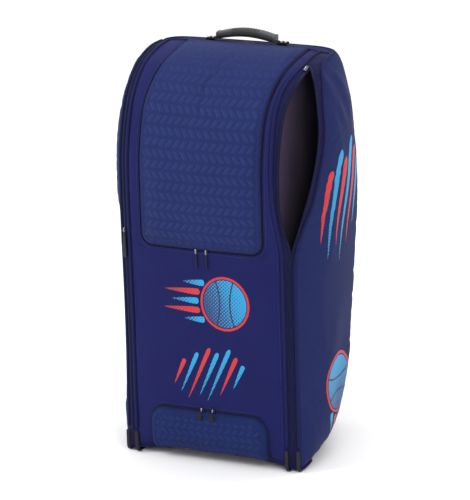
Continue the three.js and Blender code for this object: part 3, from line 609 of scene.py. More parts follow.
def bump(tree, shader, height, strength, distance):
    """A Bump node from a height, on the shader's Normal."""
    made = new_node(tree, "ShaderNodeBump")
    made.inputs["Strength"].default_value = strength
    made.inputs["Distance"].default_value = distance
    tree.links.new(height, made.inputs["Height"])
    tree.links.new(made.outputs["Normal"], shader.inputs["Normal"])


def cloth(name, colour, threads=700.0, pattern=None, seam_shade=0.45, roughness=0.75):
    """Woven polyester. Its colour carries a weave, painted shade from the edge mark in seams, sewn channels
    and rims, and a painted highlight on the threads' crowns.
    """
    made, tree, shader = start_material(name, roughness)
    shader.inputs["Sheen Weight"].default_value = 0.03
    shader.inputs["Sheen Roughness"].default_value = 0.45
    shader.inputs["Specular IOR Level"].default_value = 0.08
    uv = new_node(tree, "ShaderNodeUVMap", uv_map="cloth").outputs["UV"]
    place = new_node(tree, "ShaderNodeTexCoord").outputs["Object"]
    weave = new_node(tree, "ShaderNodeGroup", node_tree=WEAVE)
    weave.inputs["Threads per metre"].default_value = threads
    tree.links.new(uv, weave.inputs["Vector"])
    mottle = new_node(tree, "ShaderNodeGroup", node_tree=MOTTLE)
    tree.links.new(place, mottle.inputs["Vector"])
    base = np.array(linear(colour)[:3])
    dark, light = tuple(base * 0.86) + (1.0,), tuple(base * 1.16) + (1.0,)
    shade = mix_colours(tree, mottle.outputs["Patches"], dark, light)
    if pattern is not None:
        strokes = new_node(tree, "ShaderNodeGroup", node_tree=HERRINGBONE)
        tree.links.new(uv, strokes.inputs["Vector"])
        plain = new_node(tree, "ShaderNodeAttribute", attribute_name="plain").outputs["Fac"]
        woven = math_node(tree, "SUBTRACT", 0.62, math_node(tree, "MULTIPLY", plain, 0.62))
        mask = math_node(tree, "MULTIPLY", strokes.outputs["Mask"], woven)
        shade = mix_colours(tree, mask, shade, linear(pattern))
    # Painted shade: the edge mark darkens the colour towards a quarter of the base in seams, sewn channels
    # and rims, where shade falls.
    edge = new_node(tree, "ShaderNodeAttribute", attribute_name="edge").outputs["Fac"]
    seam = math_node(tree, "MULTIPLY", edge, seam_shade, clamp=True)
    shade = mix_colours(tree, seam, shade, tuple(base * 0.25) + (1.0,))
    # Painted highlight: the colour lightens on the crowns of the weave's threads.
    painted_thread_highlight = math_node(tree, "MULTIPLY", weave.outputs["Height"], 0.16)
    shade = mix_colours(tree, painted_thread_highlight, shade, tuple(base * 1.45 + 0.004) + (1.0,))
    lint_mask = math_node(tree, "MULTIPLY", mottle.outputs["Lint"], 0.05)
    shade = mix_colours(tree, lint_mask, shade, (0.4, 0.42, 0.5, 1.0))
    tree.links.new(shade, shader.inputs["Base Color"])
    bump(tree, shader, weave.outputs["Height"], 0.35, 0.0003)
    return made


NAVY = cloth("Navy front cloth", (23, 26, 76))
LID_BLUE = cloth("Patterned lid cloth", (28, 37, 82), pattern=(45, 58, 110))
POCKET_BLUE = cloth("Patterned pocket cloth", (22, 34, 80), pattern=(38, 54, 106))
SIDE_BLUE = cloth("Side cloth", (27, 35, 79))
BAND_NAVY = cloth("Seam band cloth", (19, 21, 58), seam_shade=0.3)
LINING = cloth("Lining", (52, 42, 60), threads=900.0, seam_shade=0.2)
PIPING = cloth("Piping cover", (22, 25, 66), threads=500.0, seam_shade=0.0)
BACK_NAVY = cloth("Back cloth", (22, 25, 68))
WEBBING = cloth("Webbing", (30, 31, 38), threads=420.0, seam_shade=0.0, roughness=0.65)
TAPE = cloth("Zip tape", (18, 20, 54), threads=800.0, seam_shade=0.0)


# %% Plastic, rubber, metal, thread and print
def moulded(name, colour, roughness, grain, depth, shine=0.18):
    """Moulded plastic or rubber: a plain colour that varies a little, and painted shade from the edge mark
    darkens it in grooves.
    """
    made, tree, shader = start_material(name, roughness)
    shader.inputs["Specular IOR Level"].default_value = shine
    place = new_node(tree, "ShaderNodeTexCoord").outputs["Object"]
    mottle = new_node(tree, "ShaderNodeGroup", node_tree=MOTTLE)
    mottle.inputs["Patches per metre"].default_value = 40.0
    tree.links.new(place, mottle.inputs["Vector"])
    base = np.array(linear(colour)[:3])
    dark, light = tuple(base * 0.8) + (1.0,), tuple(base * 1.25) + (1.0,)
    shade = mix_colours(tree, mottle.outputs["Patches"], dark, light)
    # Painted shade: the edge mark darkens the colour to an eighth of the base in grooves.
    edge = new_node(tree, "ShaderNodeAttribute", attribute_name="edge").outputs["Fac"]
    shade = mix_colours(tree, edge, shade, tuple(base * 0.12) + (1.0,))
    tree.links.new(shade, shader.inputs["Base Color"])
    noise = new_node(tree, "ShaderNodeTexNoise")
    noise.inputs["Scale"].default_value = grain
    tree.links.new(place, noise.inputs["Vector"])
    worn = math_node(tree, "MULTIPLY", mottle.outputs["Patches"], 0.2)
    scuffs = math_node(tree, "ADD", worn, roughness - 0.1)
    tree.links.new(scuffs, shader.inputs["Roughness"])
    bump(tree, shader, noise.outputs["Fac"], 0.4, depth)
    return made


def metal(name, colour, roughness):
    """Plated metal with fine brushing along one direction."""
    made, tree, shader = start_material(name, roughness, 1.0)
    place = new_node(tree, "ShaderNodeTexCoord").outputs["Object"]
    stretch = new_node(tree, "ShaderNodeMapping")
    stretch.inputs["Scale"].default_value = (1.0, 1.0, 0.06)
    tree.links.new(place, stretch.inputs["Vector"])
    noise = new_node(tree, "ShaderNodeTexNoise")
    noise.inputs["Scale"].default_value = 1800.0
    tree.links.new(stretch.outputs["Vector"], noise.inputs["Vector"])
    base = np.array(linear(colour)[:3])
    shade = mix_colours(tree, noise.outputs["Fac"], tuple(base * 0.82) + (1.0,), tuple(base) + (1.0,))
    tree.links.new(shade, shader.inputs["Base Color"])
    rough = math_node(tree, "ADD", math_node(tree, "MULTIPLY", noise.outputs["Fac"], 0.14), roughness - 0.05)
    tree.links.new(rough, shader.inputs["Roughness"])
    bump(tree, shader, noise.outputs["Fac"], 0.15, 0.0002)
    return made


def ink(name, pale, deep):
    """Screen print on cloth. The shade mark runs from 0, pale, to 1, deep, with dots of the deep
    colour that grow with it, and the weave shows through."""
    made, tree, shader = start_material(name, 0.5)
    uv = new_node(tree, "ShaderNodeUVMap", uv_map="cloth").outputs["UV"]
    fade = new_node(tree, "ShaderNodeAttribute", attribute_name="edge").outputs["Fac"]
    dots = new_node(tree, "ShaderNodeGroup", node_tree=WEAVE)
    dots.inputs["Threads per metre"].default_value = 260.0
    tree.links.new(uv, dots.inputs["Vector"])
    above = math_node(tree, "SUBTRACT", math_node(tree, "ADD", dots.outputs["Height"], fade), 1.0)
    dotted = math_node(tree, "MULTIPLY", above, 9.0, clamp=True)
    shade = mix_colours(tree, dotted, linear(pale), linear(deep))
    weave = new_node(tree, "ShaderNodeGroup", node_tree=WEAVE)
    tree.links.new(uv, weave.inputs["Vector"])
    worn = math_node(tree, "MULTIPLY", weave.outputs["Height"], 0.18)
    shade = mix_colours(tree, worn, shade, tuple(np.array(linear(deep)[:3]) * 0.6) + (1.0,))
    tree.links.new(shade, shader.inputs["Base Color"])
    bump(tree, shader, weave.outputs["Height"], 0.25, 0.0003)
    return made


RUBBER = moulded("Grip rubber", (50, 53, 54), 0.4, 900.0, 0.0002, 0.4)
BRACKET = moulded("Bracket plastic", (13, 13, 20), 0.6, 500.0, 0.0002, 0.04)
PLASTIC = moulded("Dark plastic", (34, 32, 38), 0.5, 500.0, 0.0002)
PULL_RUBBER = moulded("Pull rubber", (24, 24, 30), 0.5, 700.0, 0.0002)
TYRE = moulded("Wheel rubber", (32, 33, 35), 0.62, 700.0, 0.0004)
HUB = moulded("Wheel hub", (52, 54, 60), 0.42, 500.0, 0.0002)
TEETH = moulded("Zip teeth", (27, 29, 54), 0.4, 600.0, 0.0001)
THREAD = moulded("Sewing thread", (44, 48, 96), 0.6, 1500.0, 0.0001)
STEEL = metal("Plated steel", (178, 180, 186), 0.3)
GUNMETAL = metal("Dark zip metal", (74, 76, 84), 0.34)
RED_INK = ink("Red print", (192, 30, 36), (126, 26, 40))
CYAN_INK = ink("Cyan print", (10, 146, 200), (20, 50, 104))
print(len(bpy.data.materials), "materials")

# %% [markdown]
# ## Folds
# Cloth that is stuffed and sewn shows three kinds of relief: a soft valley where it dips into each
# seam, small puckers where the thread gathers it, and broad folds where the load pulls. These are
# sums of waves and rounded ridges, because each fold can then be put where the picture shows it. The
# swell of the padding is left to a simulation, which comes after them.


# %% Relief helpers, in millimetres
def ridge(v, s, start, end, wide, high):
    """A fold from one (v, s) to another: high exp(-(d / wide)^2), fading at its ends."""
    scale = 1000.0
    a, b = np.array([start[0] * scale, start[1]]), np.array([end[0] * scale, end[1]])
    along = b - a
    length = np.hypot(*along)
    x, y = v * scale - a[0], s - a[1]
    t = (x * along[0] + y * along[1]) / length**2
    away = np.abs(x * along[1] - y * along[0]) / length
    ends = np.exp(-((np.maximum(np.abs(t - 0.5) - 0.25, 0) / 0.22) ** 2))
    return high * np.exp(-((away / wide) ** 2)) * ends


def ridges(v, s, rows):
    """The sum of the folds in a table of v1, s1, v2, s2, wide and high."""
    total = np.zeros(np.broadcast(v, s).shape)
    for v1, s1, v2, s2, wide, high in rows:
        total = total + ridge(v, s, (v1, s1), (v2, s2), wide, high)
    return total


PUCKER_PITCH = 0.019


def seam_relief(v, away, depth=1.6, pucker=0.5, phase=0.0):
    """Away mm from a seam: a valley -depth exp(-(away/7)^2) and puckers that die out at 24 mm."""
    valley = -depth * np.exp(-((away / 7.0) ** 2))
    drift = 1.3 * np.sin(2 * np.pi * v / (PUCKER_PITCH * 3.7))
    swing = np.sin(2 * np.pi * v / PUCKER_PITCH + phase + drift)
    return valley + pucker * swing * np.exp(-((away / 12.0) ** 2)) * (away / 12.0)


def waves(v, s, high, seed):
    """Slow unevenness: four long sine waves with fixed directions and phases."""
    turns = np.random.default_rng(seed).uniform(0, 2 * np.pi, (4, 2))
    total = 0
    for k, (direction, phase) in enumerate(turns):
        place = v * 1000 * math.sin(direction) + s * math.cos(direction)
        total = total + np.sin(place * 2 * np.pi / (150 + 55 * k) + phase) / 4
    return high * total


def panel_grid(rows, columns, left, right):
    """v and s on a grid from one edge to another, both given as functions of v."""
    v = np.asarray(rows)[:, None] + np.zeros((1, columns + 1))
    t = np.linspace(0, 1, columns + 1)[None, :]
    return v, left(v) + (right(v) - left(v)) * t


METRES_PER_V = 1.02


def cloth_uv(v, s):
    """The cloth's own coordinates in metres: the distance round, and the run up the front."""
    return np.stack(np.broadcast_arrays(s * MM, v * METRES_PER_V), -1)


def near(away, reach):
    """1 at an edge, falling to 0 over reach mm."""
    return np.exp(-((away / reach) ** 2))


# %% [markdown]
# ## Swelling under pressure
# A stuffed panel is held by its seams and pressed outwards everywhere else, and a little spare cloth
# then gathers by itself. Blender's cloth modifier does just that when the sheet's rim is pinned, air
# pressure is turned on and a negative shrink makes the threads longer than the grid. Only every
# second row and column is simulated, and the move is added to the fine grid, so it takes seconds.

# %% Cloth under pressure
def doubled(grid):
    """A grid with a new row half way between each two: (9 (b + c) - (a + d)) / 16 of four rows."""
    ends = np.concatenate([2 * grid[:1] - grid[1:2], grid, 2 * grid[-1:] - grid[-2:-1]])
    fine = np.empty((2 * len(grid) - 1, *grid.shape[1:]))
    fine[::2] = grid
    fine[1::2] = (9 * (ends[1:-2] + ends[2:-1]) - ends[:-3] - ends[3:]) / 16
    return fine


SWELL_FRAMES = 20


def swollen(points, pressure, excess, cap):
    """A grid of points after a short cloth simulation. Every second row and column is simulated with
    its rim held, air presses the sheet out, and its threads are longer than the grid by the excess,
    so that it gathers. The move of a point is cut to cap mm and added to the whole grid."""
    coarse = points[::2, ::2]
    rows, columns = coarse.shape[:2]
    mesh = bpy.data.meshes.new("swelling")
    mesh.from_pydata(coarse.reshape(-1, 3).tolist(), [], quads(rows, columns).tolist())
    piece = bpy.data.objects.new("swelling", mesh)
    bpy.context.collection.objects.link(piece)
    rim = np.ones((rows, columns), bool)
    rim[1:-1, 1:-1] = False
    piece.vertex_groups.new(name="rim").add(np.flatnonzero(rim.ravel()).tolist(), 1.0, "REPLACE")
    settings = piece.modifiers.new("swelling", "CLOTH").settings
    settings.vertex_group_mass = "rim"
    settings.mass = 0.001
    settings.bending_stiffness = 0.3
    settings.shrink_min = settings.shrink_max = -excess
    settings.use_pressure = True
    settings.uniform_pressure_force = pressure
    settings.effector_weights.gravity = 0
    for frame_number in range(1, SWELL_FRAMES + 1):
        bpy.context.scene.frame_set(frame_number)
    shaped = piece.evaluated_get(bpy.context.evaluated_depsgraph_get()).to_mesh()
    places = np.empty(3 * rows * columns, np.float32)
    shaped.vertices.foreach_get("co", places)
    move = places.reshape(rows, columns, 3) - coarse
    far = np.linalg.norm(move, axis=-1, keepdims=True)
    move = move * np.minimum(1, cap * MM / np.maximum(far, 1e-9))
    bpy.context.scene.frame_set(1)
    bpy.data.objects.remove(piece)
    print("swollen by up to", round(float(far.max()) / MM, 1), "mm, kept to", cap)
    return points + doubled(doubled(move).swapaxes(0, 1)).swapaxes(0, 1)


ALL_ROWS = np.concatenate([np.linspace(LOW, 0.05, 14)[:-1], np.linspace(0.05, HIGH, 236)])
WALL = 2.6

# %% [markdown]
# ## Front
# One padded panel runs from the base up the front and over the top, between the two front seams. The
# lid closes a large window in it. The panel is one grid whose columns follow the window's edges, and
# the faces inside the window are left out. The window's lower corners are rounded by moving the
# nearby points from a square towards a circle.


# %% Rounded corners and the window's path
LID_HALF, LID_BOTTOM, LID_BACK, LID_CORNER = 134.0, 463.0, 196.0, 24.0
ZIP_GAP = 3.8
MM_PER_V = float(40 / (v_at_height(LID_BOTTOM + 20) - v_at_height(LID_BOTTOM - 20)))


def lid_drift(v):
    """The lid's middle lies 3.5 mm to the left, and leans over to the right on the shoulder by
    19 mm (3 t^2 - 2 t^3) from v 0.76."""
    t = np.clip((v - 0.76) / 0.23, 0, 1)
    return -3.5 + 19.0 * t * t * (3 - 2 * t)


def rounded(a, b, radius, inside):
    """Moves (a, b), measured from a corner's centre, so that the square of half side radius becomes
    a circle: both are scaled by max(a, b) / hypot(a, b). Outside it the pull fades by twice radius."""
    big, far = np.maximum(a, b), np.hypot(a, b)
    factor = np.where((a > 0) & (b > 0), big / np.maximum(far, 1e-9), 1.0)
    fade = np.ones_like(big) if inside else np.clip((2.0 * radius - big) / radius, 0, 1)
    factor = 1 + (factor - 1) * fade
    return a * factor, b * factor


def round_lower_corners(v, s, half, v_edge, radius, inside):
    """Rounds the two lower corners of the rectangle |s| < half, v > v_edge."""
    a = np.abs(s) - (half - radius)
    b = (v_edge - v) * MM_PER_V + radius
    near_corner = (a > 0) & (b > 0)
    new_a, new_b = rounded(a, b, radius, inside)
    s = np.where(near_corner, np.sign(s) * (half - radius + new_a), s)
    return np.where(near_corner, v_edge + (radius - new_b) / MM_PER_V, v), s


def round_upper_corners(v, s, half, v_edge, radius, inside):
    """The same for the two upper corners of |s| < half, v < v_edge."""
    flipped, s = round_lower_corners(2 * v_edge - v, s, half, v_edge, radius, inside)
    return 2 * v_edge - flipped, s


def edge_distance(side, end, radius):
    """The distance from a rounded outline, from the distances to its straight side and to its end."""
    corner = (side < radius) & (end < radius)
    from_round = radius - np.hypot(radius - side, radius - end)
    return np.where(corner, from_round, np.minimum(side, end))


def v_at_depth(y):
    """The v at which the middle of the front and top outline reaches a depth y in mm."""
    ladder = np.linspace(0.6, 1, 801)
    return float(np.interp(y, skin(ladder, 0 * ladder)[:, 1] / MM - SHIFT[1], ladder))


LID_V, LID_TOP_V = float(v_at_height(LID_BOTTOM)), v_at_depth(LID_BACK)
WINDOW_V, WINDOW_TOP_V = LID_V - ZIP_GAP / MM_PER_V, v_at_depth(LID_BACK + 3)
print("lid from v", round(LID_V, 4), "to", round(LID_TOP_V, 4))


def masked_slab(name, v, s, outer, inner, keep, materials, marks):
    """A slab of the grid's kept faces. Its border walls stand on the edges that only one kept face
    uses, found by looking for each directed edge's twin."""
    rows, columns = v.shape
    count = rows * columns
    top = quads(rows, columns)[keep.ravel()]
    edges = np.stack([top, np.roll(top, -1, axis=1)], -1).reshape(-1, 2)
    codes, twins = edges[:, 0] * count + edges[:, 1], edges[:, 1] * count + edges[:, 0]
    rim = edges[~np.isin(codes, twins)]
    walls = np.stack([rim[:, 1], rim[:, 0], rim[:, 0] + count, rim[:, 1] + count], -1)
    faces = np.concatenate([top, top[:, ::-1] + count, walls])
    points = np.concatenate([lifted(v, s, outer).reshape(-1, 3), lifted(v, s, inner).reshape(-1, 3)])
    used = np.unique(faces)
    renumber = np.zeros(2 * count, int)
    renumber[used] = np.arange(len(used))
    uv = np.tile(cloth_uv(v, s).reshape(-1, 2), (2, 1))[used]
    both = {key: np.tile(np.ravel(value), 2)[used] for key, value in marks.items()}
    kinds = np.concatenate([np.zeros(len(top)), np.ones(len(top)), np.zeros(len(walls))])
    return link_mesh(name, points[used], renumber[faces], "bag", uv, both, kinds, materials)


# %% The front panel
FRONT_FOLDS = [
    (0.03, -150, 0.16, -120, 14, 1.6),
    (0.02, 150, 0.2, 128, 15, 1.8),
    (0.13, -168, 0.3, -110, 20, 1.2),
    (0.17, 165, 0.36, 110, 24, 1.4),
    (0.3, -60, 0.47, -130, 26, 1.0),
    (0.33, 40, 0.47, 120, 24, 1.0),
    (0.135, -90, 0.135, 90, 9, 1.3),
]
WINDOW_HALF = LID_HALF + ZIP_GAP


def front_relief(v, s):
    """Relief of the front sheet in mm: its two seams, the window's rim, broad folds, unevenness."""
    window = np.maximum(np.abs(s - lid_drift(v)) - WINDOW_HALF, (WINDOW_V - v) * MM_PER_V)
    seams = seam_relief(v, s - left_front_seam(v)) + seam_relief(v, right_front_seam(v) - s, phase=1.0)
    return seams - 1.0 * near(window, 6.0) + waves(v, s, 1.1, 3) + ridges(v, s, FRONT_FOLDS)


def front_panel():
    """The front sheet: two strips beside the window and the part below it, on one grid."""
    low = np.linspace(LOW, WINDOW_V, 118)
    high = np.linspace(WINDOW_V, WINDOW_TOP_V, 112)
    rows = np.concatenate([low, high[1:], np.linspace(WINDOW_TOP_V, HIGH, 5)[1:]])
    v = rows[:, None]
    shift = lid_drift(v)
    t = np.linspace(0, 1, 9)[None, :]
    left, right = left_front_seam(v), right_front_seam(v)
    left_strip = left + (shift - WINDOW_HALF - left) * t
    right_strip = shift + WINDOW_HALF + (right - shift - WINDOW_HALF) * t
    middle = shift + np.linspace(-WINDOW_HALF, WINDOW_HALF, 80)[None, 1:-1]
    s = np.concatenate([left_strip, middle, right_strip], axis=1)
    v = v + 0 * s
    column, level = np.arange(s.shape[1] - 1), np.arange(len(rows) - 1)
    in_window = (level >= 117) & (level < 117 + 111)
    keep = ~(in_window[:, None] & ((column >= 8) & (column < s.shape[1] - 9))[None, :])
    v, s = round_lower_corners(v, s - shift, WINDOW_HALF, WINDOW_V, LID_CORNER + ZIP_GAP, False)
    s = s + shift
    relief = front_relief(v, s)
    # Painted shade: the edge mark darkens the seam valleys and the rim of the lid's window.
    painted_seam_shade = np.maximum(near(s - left_front_seam(v), 5), near(right_front_seam(v) - s, 5))
    window = np.maximum(np.abs(s - shift) - WINDOW_HALF, (WINDOW_V - v) * MM_PER_V)
    marks = {"edge": np.maximum(painted_seam_shade, 0.6 * near(window, 4))}
    grid = lifted(v, s, relief)
    return masked_slab("front_cloth", v, s, relief, relief - WALL, keep, [NAVY, LINING], marks), grid, keep


front, front_grid, front_kept = front_panel()
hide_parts("front_panel")

# %% [markdown]
# ## Lid and low pocket
# Both are padded: cloth over thin foam, sewn round the edge. A pad is a slab whose outer side rises
# quickly from the edge and then stays nearly level, so its height is a square root of the distance
# from the edge, and the stitching presses a shallow channel along it. The simulation then swells it.


# %% Padded panels
def pad(name, v, s, edge, border, rise, foot, swell, materials, plain):
    """A pad on the skin: outer height foot + rise sqrt(1 - (1 - e)^2), with e the distance from the
    edge as a share of the border, a sewn channel where the border ends, and puckers inside it. The
    plain mark is 1 where the cloth carries no pattern. Pressure then swells it."""
    e = np.clip(edge / border, 0, 1)
    height = foot + rise * np.sqrt(1 - (1 - e) ** 2)
    channel = -1.1 * near(edge - border - 2, 2.4)
    swing = np.sin(v * 2 * np.pi / 0.017 + s * 0.02) * np.cos(s * 2 * np.pi / 23.0)
    puckers = 0.4 * swing * np.exp(-(((edge - border - 8.0) / 9.0) ** 2))
    outer = height + channel + puckers + waves(v, s, 0.8, len(name)) * np.clip(edge / 60, 0, 1)
    inner = np.minimum(outer - 0.8, foot - 2.4 + 0 * edge)
    in_border = np.clip((border + 1.0 - edge) / 1.5, 0, 1)
    # Painted shade: the edge mark darkens the pad's outline and its sewn channel.
    painted_outline_shade = near(edge, 3.0) + 0.5 * near(edge - border - 1, 1.6)
    marks = {"edge": painted_outline_shade, "plain": np.maximum(in_border, plain)}
    points = swollen(lifted(v, s, outer), *swell)
    piece = slab(name, points, lifted(v, s, inner), cloth_uv(v, s), materials, marks)
    return piece


def lid_grid():
    """v and s over the lid, and each point's distance from its outline in mm."""
    v = np.linspace(LID_V, LID_TOP_V, 177)[:, None] + np.zeros((1, 79))
    s = np.linspace(-LID_HALF, LID_HALF, 79)[None, :] + 0 * v
    v, s = round_lower_corners(v, s, LID_HALF, LID_V, LID_CORNER, True)
    edge = edge_distance(LID_HALF - np.abs(s), (v - LID_V) * MM_PER_V, LID_CORNER)
    top = (LID_TOP_V - v) * 1000
    return v, s + lid_drift(v), np.maximum(np.minimum(edge, 3 + top), 0)


lid_v, lid_s, lid_edge = lid_grid()
plain_top = 0.75 * np.clip((lid_v - 0.80) / 0.12, 0, 1)
lid = pad(
    "lid_pad", lid_v, lid_s, lid_edge, 8.5, 4.4, 0.2, (12.0, 0.004, 5.0), [LID_BLUE, LINING], plain_top
)
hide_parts("main_lid")

POCKET_HALF, POCKET_TOP, POCKET_CORNER = 132.0, 114.0, 34.0
POCKET_MM_SHARE = 0.93
POCKET_V = float(v_at_height(POCKET_TOP))


def pocket_grid():
    """v and s over the low pocket, and the distance from its sides and top."""
    v = np.linspace(LOW, POCKET_V, 61)[:, None] + np.zeros((1, 111))
    s = np.linspace(-POCKET_HALF, POCKET_HALF, 111)[None, :] + 0 * v
    v, s = round_upper_corners(v, s, POCKET_HALF, POCKET_V, POCKET_CORNER, True)
    top = (POCKET_V - v) * MM_PER_V * POCKET_MM_SHARE
    return v, s, np.maximum(edge_distance(POCKET_HALF - np.abs(s), top, POCKET_CORNER), 0)


pocket_v, pocket_s, pocket_edge = pocket_grid()
pocket = pad(
    "pocket_pad", pocket_v, pocket_s, pocket_edge, 14.0, 11.5, 0.6, (10.0, 0.004, 4.0),
    [POCKET_BLUE, LINING], 0 * pocket_v,
)
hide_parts("lower_pocket")
print("lid", len(lid.data.polygons), "faces, pocket", len(pocket.data.polygons))

# %% [markdown]
# ## Flanks, back and seam bands
# The side pouches bulge and hang from their seams, so their folds run from the top of the open mouth
# down and back, and up from the foot, and the simulation swells both. What is printed or sewn on them
# later is laid on their own grids. The bands are the narrow strips between the two piped seams on
# each side, with the pocket zip in their middle. On the right the zip is open, and each half of the
# band folds in a little at its edge.

# %% Side, back and band sheets
SIDE_FOLDS = [
    (0.89, 228, 0.74, 372, 10, 4.6),
    (0.9, 262, 0.76, 420, 12, 4.0),
    (0.87, 300, 0.72, 440, 16, 3.6),
    (0.82, 282, 0.64, 356, 14, 3.6),
    (0.62, 262, 0.44, 300, 26, 2.8),
    (0.52, 212, 0.3, 236, 16, 2.2),
    (0.36, 330, 0.12, 262, 30, 3.0),
    (0.3, 430, 0.1, 320, 26, 2.8),
    (0.02, 236, 0.14, 226, 14, 2.6),
    (0.05, 300, 0.2, 300, 22, 2.2),
    (0.55, 470, 0.35, 440, 34, 2.6),
]


def wall_piece(name, columns, left, right, relief, materials, edge_reach=5.0, swell=None):
    """A panel between two edges, with its seam marks of painted shade, as a slab of wall thickness."""
    v, s = panel_grid(ALL_ROWS, columns, left, right)
    from_left, from_right = s - left(v), right(v) - s
    height = relief(v, s, from_left, from_right)
    # Painted shade: the edge mark darkens the cloth beside both seams.
    marks = {"edge": np.maximum(near(from_left, edge_reach), near(from_right, edge_reach))}
    outer = lifted(v, s, height)
    if swell is not None:
        outer = swollen(outer, *swell)
    inner = outer - frame_at(v, s)[2] * WALL * MM
    return slab(name, outer, inner, cloth_uv(v, s), materials, marks), outer


def side_relief(sign):
    """Relief of a flank: its two seams, the side folds and slow unevenness."""

    def relief(v, s, from_left, from_right):
        run = s * sign
        seams = seam_relief(v, from_left, 1.8, 0.7) + seam_relief(v, from_right, 1.8, 0.6, phase=2.0)
        seam = from_left if sign > 0 else from_right
        tuck = -7.0 * np.maximum(1 - v / 0.035, 0) ** 2 * np.clip(seam / 22, 0, 1)
        return seams + tuck + ridges(v, run, SIDE_FOLDS) + waves(v, s, 1.6, 31 + sign)

    return relief


def plain_relief(depth, unevenness, seed):
    """Relief of a plain panel: its seams and slow unevenness."""

    def relief(v, s, from_left, from_right):
        seams = seam_relief(v, from_left, depth, 0.4) + seam_relief(v, from_right, depth, 0.4, phase=1.5)
        return seams + waves(v, s, unevenness, seed)

    return relief


def mouth_band_relief(edge_is_right):
    """A band half at the open mouth: it dips at its seam and turns in towards the zip's edge."""

    def relief(v, s, from_left, from_right):
        open_share = np.clip((v - MOUTH_LOW) / 0.05, 0, 1) * np.clip((MOUTH_HIGH - v) / 0.03, 0, 1)
        zip_side = from_right if edge_is_right else from_left
        seam_side = from_left if edge_is_right else from_right
        return -1.2 * near(seam_side, 5) - 2.2 * open_share * near(zip_side, 6) + 0.3 * np.sin(v * 170)

    return relief


def in_lengths(node):
    """The CAD nodes of a panel that is built there in three lengths, one above another."""
    return [node + "_" + part for part in ("lower", "middle", "upper")]


def on_flank(side, v, s, lift):
    """Points lift mm off a flank's own grid, read between its four nearest points."""
    v, s = np.broadcast_arrays(v, s)
    grid, left, right = FLANK_GRIDS[side]
    row = np.interp(v, ALL_ROWS, np.arange(len(ALL_ROWS)))
    column = np.clip((s - left(v)) / (right(v) - left(v)), 0, 1) * (grid.shape[1] - 1)
    i = np.minimum(row.astype(int), grid.shape[0] - 2)
    j = np.minimum(column.astype(int), grid.shape[1] - 2)
    up, across = (row - i)[..., None], (column - j)[..., None]
    low = grid[i, j] * (1 - across) + grid[i, j + 1] * across
    high = grid[i + 1, j] * (1 - across) + grid[i + 1, j + 1] * across
    return low * (1 - up) + high * up + frame_at(v, s)[2] * lift * MM


FLANK_SWELL, FLANK_GRIDS = (8.0, 0.004, 6.0), {}
for side, sign in (("right", 1), ("left", -1)):
    if sign > 0:
        edges = (right_side_seam, back_seam)
    else:
        edges = (lambda v: -back_seam(v), left_side_seam)
    name = side + "_side_cloth"
    piece, outer = wall_piece(name, 84, *edges, side_relief(sign), [SIDE_BLUE, LINING], 5.0, FLANK_SWELL)
    FLANK_GRIDS[side] = (outer, *edges)
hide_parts(*in_lengths("right_side_panel"))
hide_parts("left_side_panel")

back_cloth, outer = wall_piece(
    "back_cloth", 64, back_seam, lambda v: 2 * half_girth(v) - back_seam(v), plain_relief(1.8, 1.4, 41),
    [BACK_NAVY, LINING],
)
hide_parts("back_panel")

BANDS = {
    "left_zip_band": (left_side_seam, left_front_seam, plain_relief(1.2, 0.4, 5)),
    "right_band_front": (right_front_seam, mouth_front_edge, mouth_band_relief(True)),
    "right_band_side": (mouth_side_edge, right_side_seam, mouth_band_relief(False)),
}
for node, (left_edge, right_edge, relief) in BANDS.items():
    piece, outer = wall_piece(node + "_cloth", 10, left_edge, right_edge, relief, [BAND_NAVY, LINING], 3.0)
    nodes = in_lengths(node) if node == "right_band_side" else [node]
    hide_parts(*nodes)

# %% [markdown]
# ## Top, base and the pocket's divider
# The top and base close the ring of walls. Each is a polar grid: rays run from the middle to the
# walls' end section, and the sheet rises a little towards its middle at the top and hangs a little at
# the base. A binding cord covers the seam where it meets the walls.


# %% End panels and divider
def end_panel(name, node, v, sag, material, flipped):
    """Rays from the end section's middle to its rim: middle + (rim - middle) r, raised by
    sag (1 - r^2), as a slab with the inner side below or above. flipped turns the faces round, for a
    panel that is seen from below."""
    girth = float(half_girth(v))
    s = np.linspace(-girth, girth, 181)[:-1]
    rim = skin(v, s)
    middle = rim.mean(0)
    r = np.concatenate([[0.004], np.linspace(0.05, 0.992, 26)])[:, None, None]
    grid = middle + (rim[None] - middle) * r
    height = sag * (1 - r[..., 0] ** 2) + 0.0006 * np.sin(s * 0.09)[None, :] * r[..., 0]
    outer, inner = grid.copy(), grid.copy()
    outer[..., 2] += height
    inner[..., 2] += height - math.copysign(WALL * MM, sag)
    rows, columns = outer.shape[:2]
    count = rows * columns
    faces = quads(rows, columns, wrap=True)
    k = np.arange(columns)
    after = (k + 1) % columns
    last = (rows - 1) * columns
    rim_faces = np.stack([last + k, last + after, count + last + after, count + last + k], -1)
    tip = np.stack([k, after, count + after, count + k], -1)[:, ::-1]
    faces = np.concatenate([faces[:, ::-1], faces + count, rim_faces[:, ::-1], tip[:, ::-1]])
    if flipped:
        faces = faces[:, ::-1]
    points = np.concatenate([outer.reshape(-1, 3), inner.reshape(-1, 3)])
    uv = np.tile(grid.reshape(-1, 3)[:, :2], (2, 1))
    # Painted shade: the edge mark darkens the sheet towards its rim seam.
    edge = np.tile(np.repeat(near((1 - r[:, 0, 0]) * 90, 6), columns), 2)
    piece = link_mesh(name, points, faces, "bag", uv, {"edge": edge}, None, [material])
    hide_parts(node)
    binding = sweep(
        name + "_binding", skin(v, np.append(s, s[0])), np.tile([0, 0, math.copysign(1, sag)], (181, 1)),
        ring_profile(2.0, 8), [PIPING],
    )


end_panel("top_cloth", "top_panel", HIGH, 0.0022, BACK_NAVY, False)
end_panel("base_cloth", "base_panel", LOW, -0.0022, BACK_NAVY, True)

DIVIDER_X = 160.0


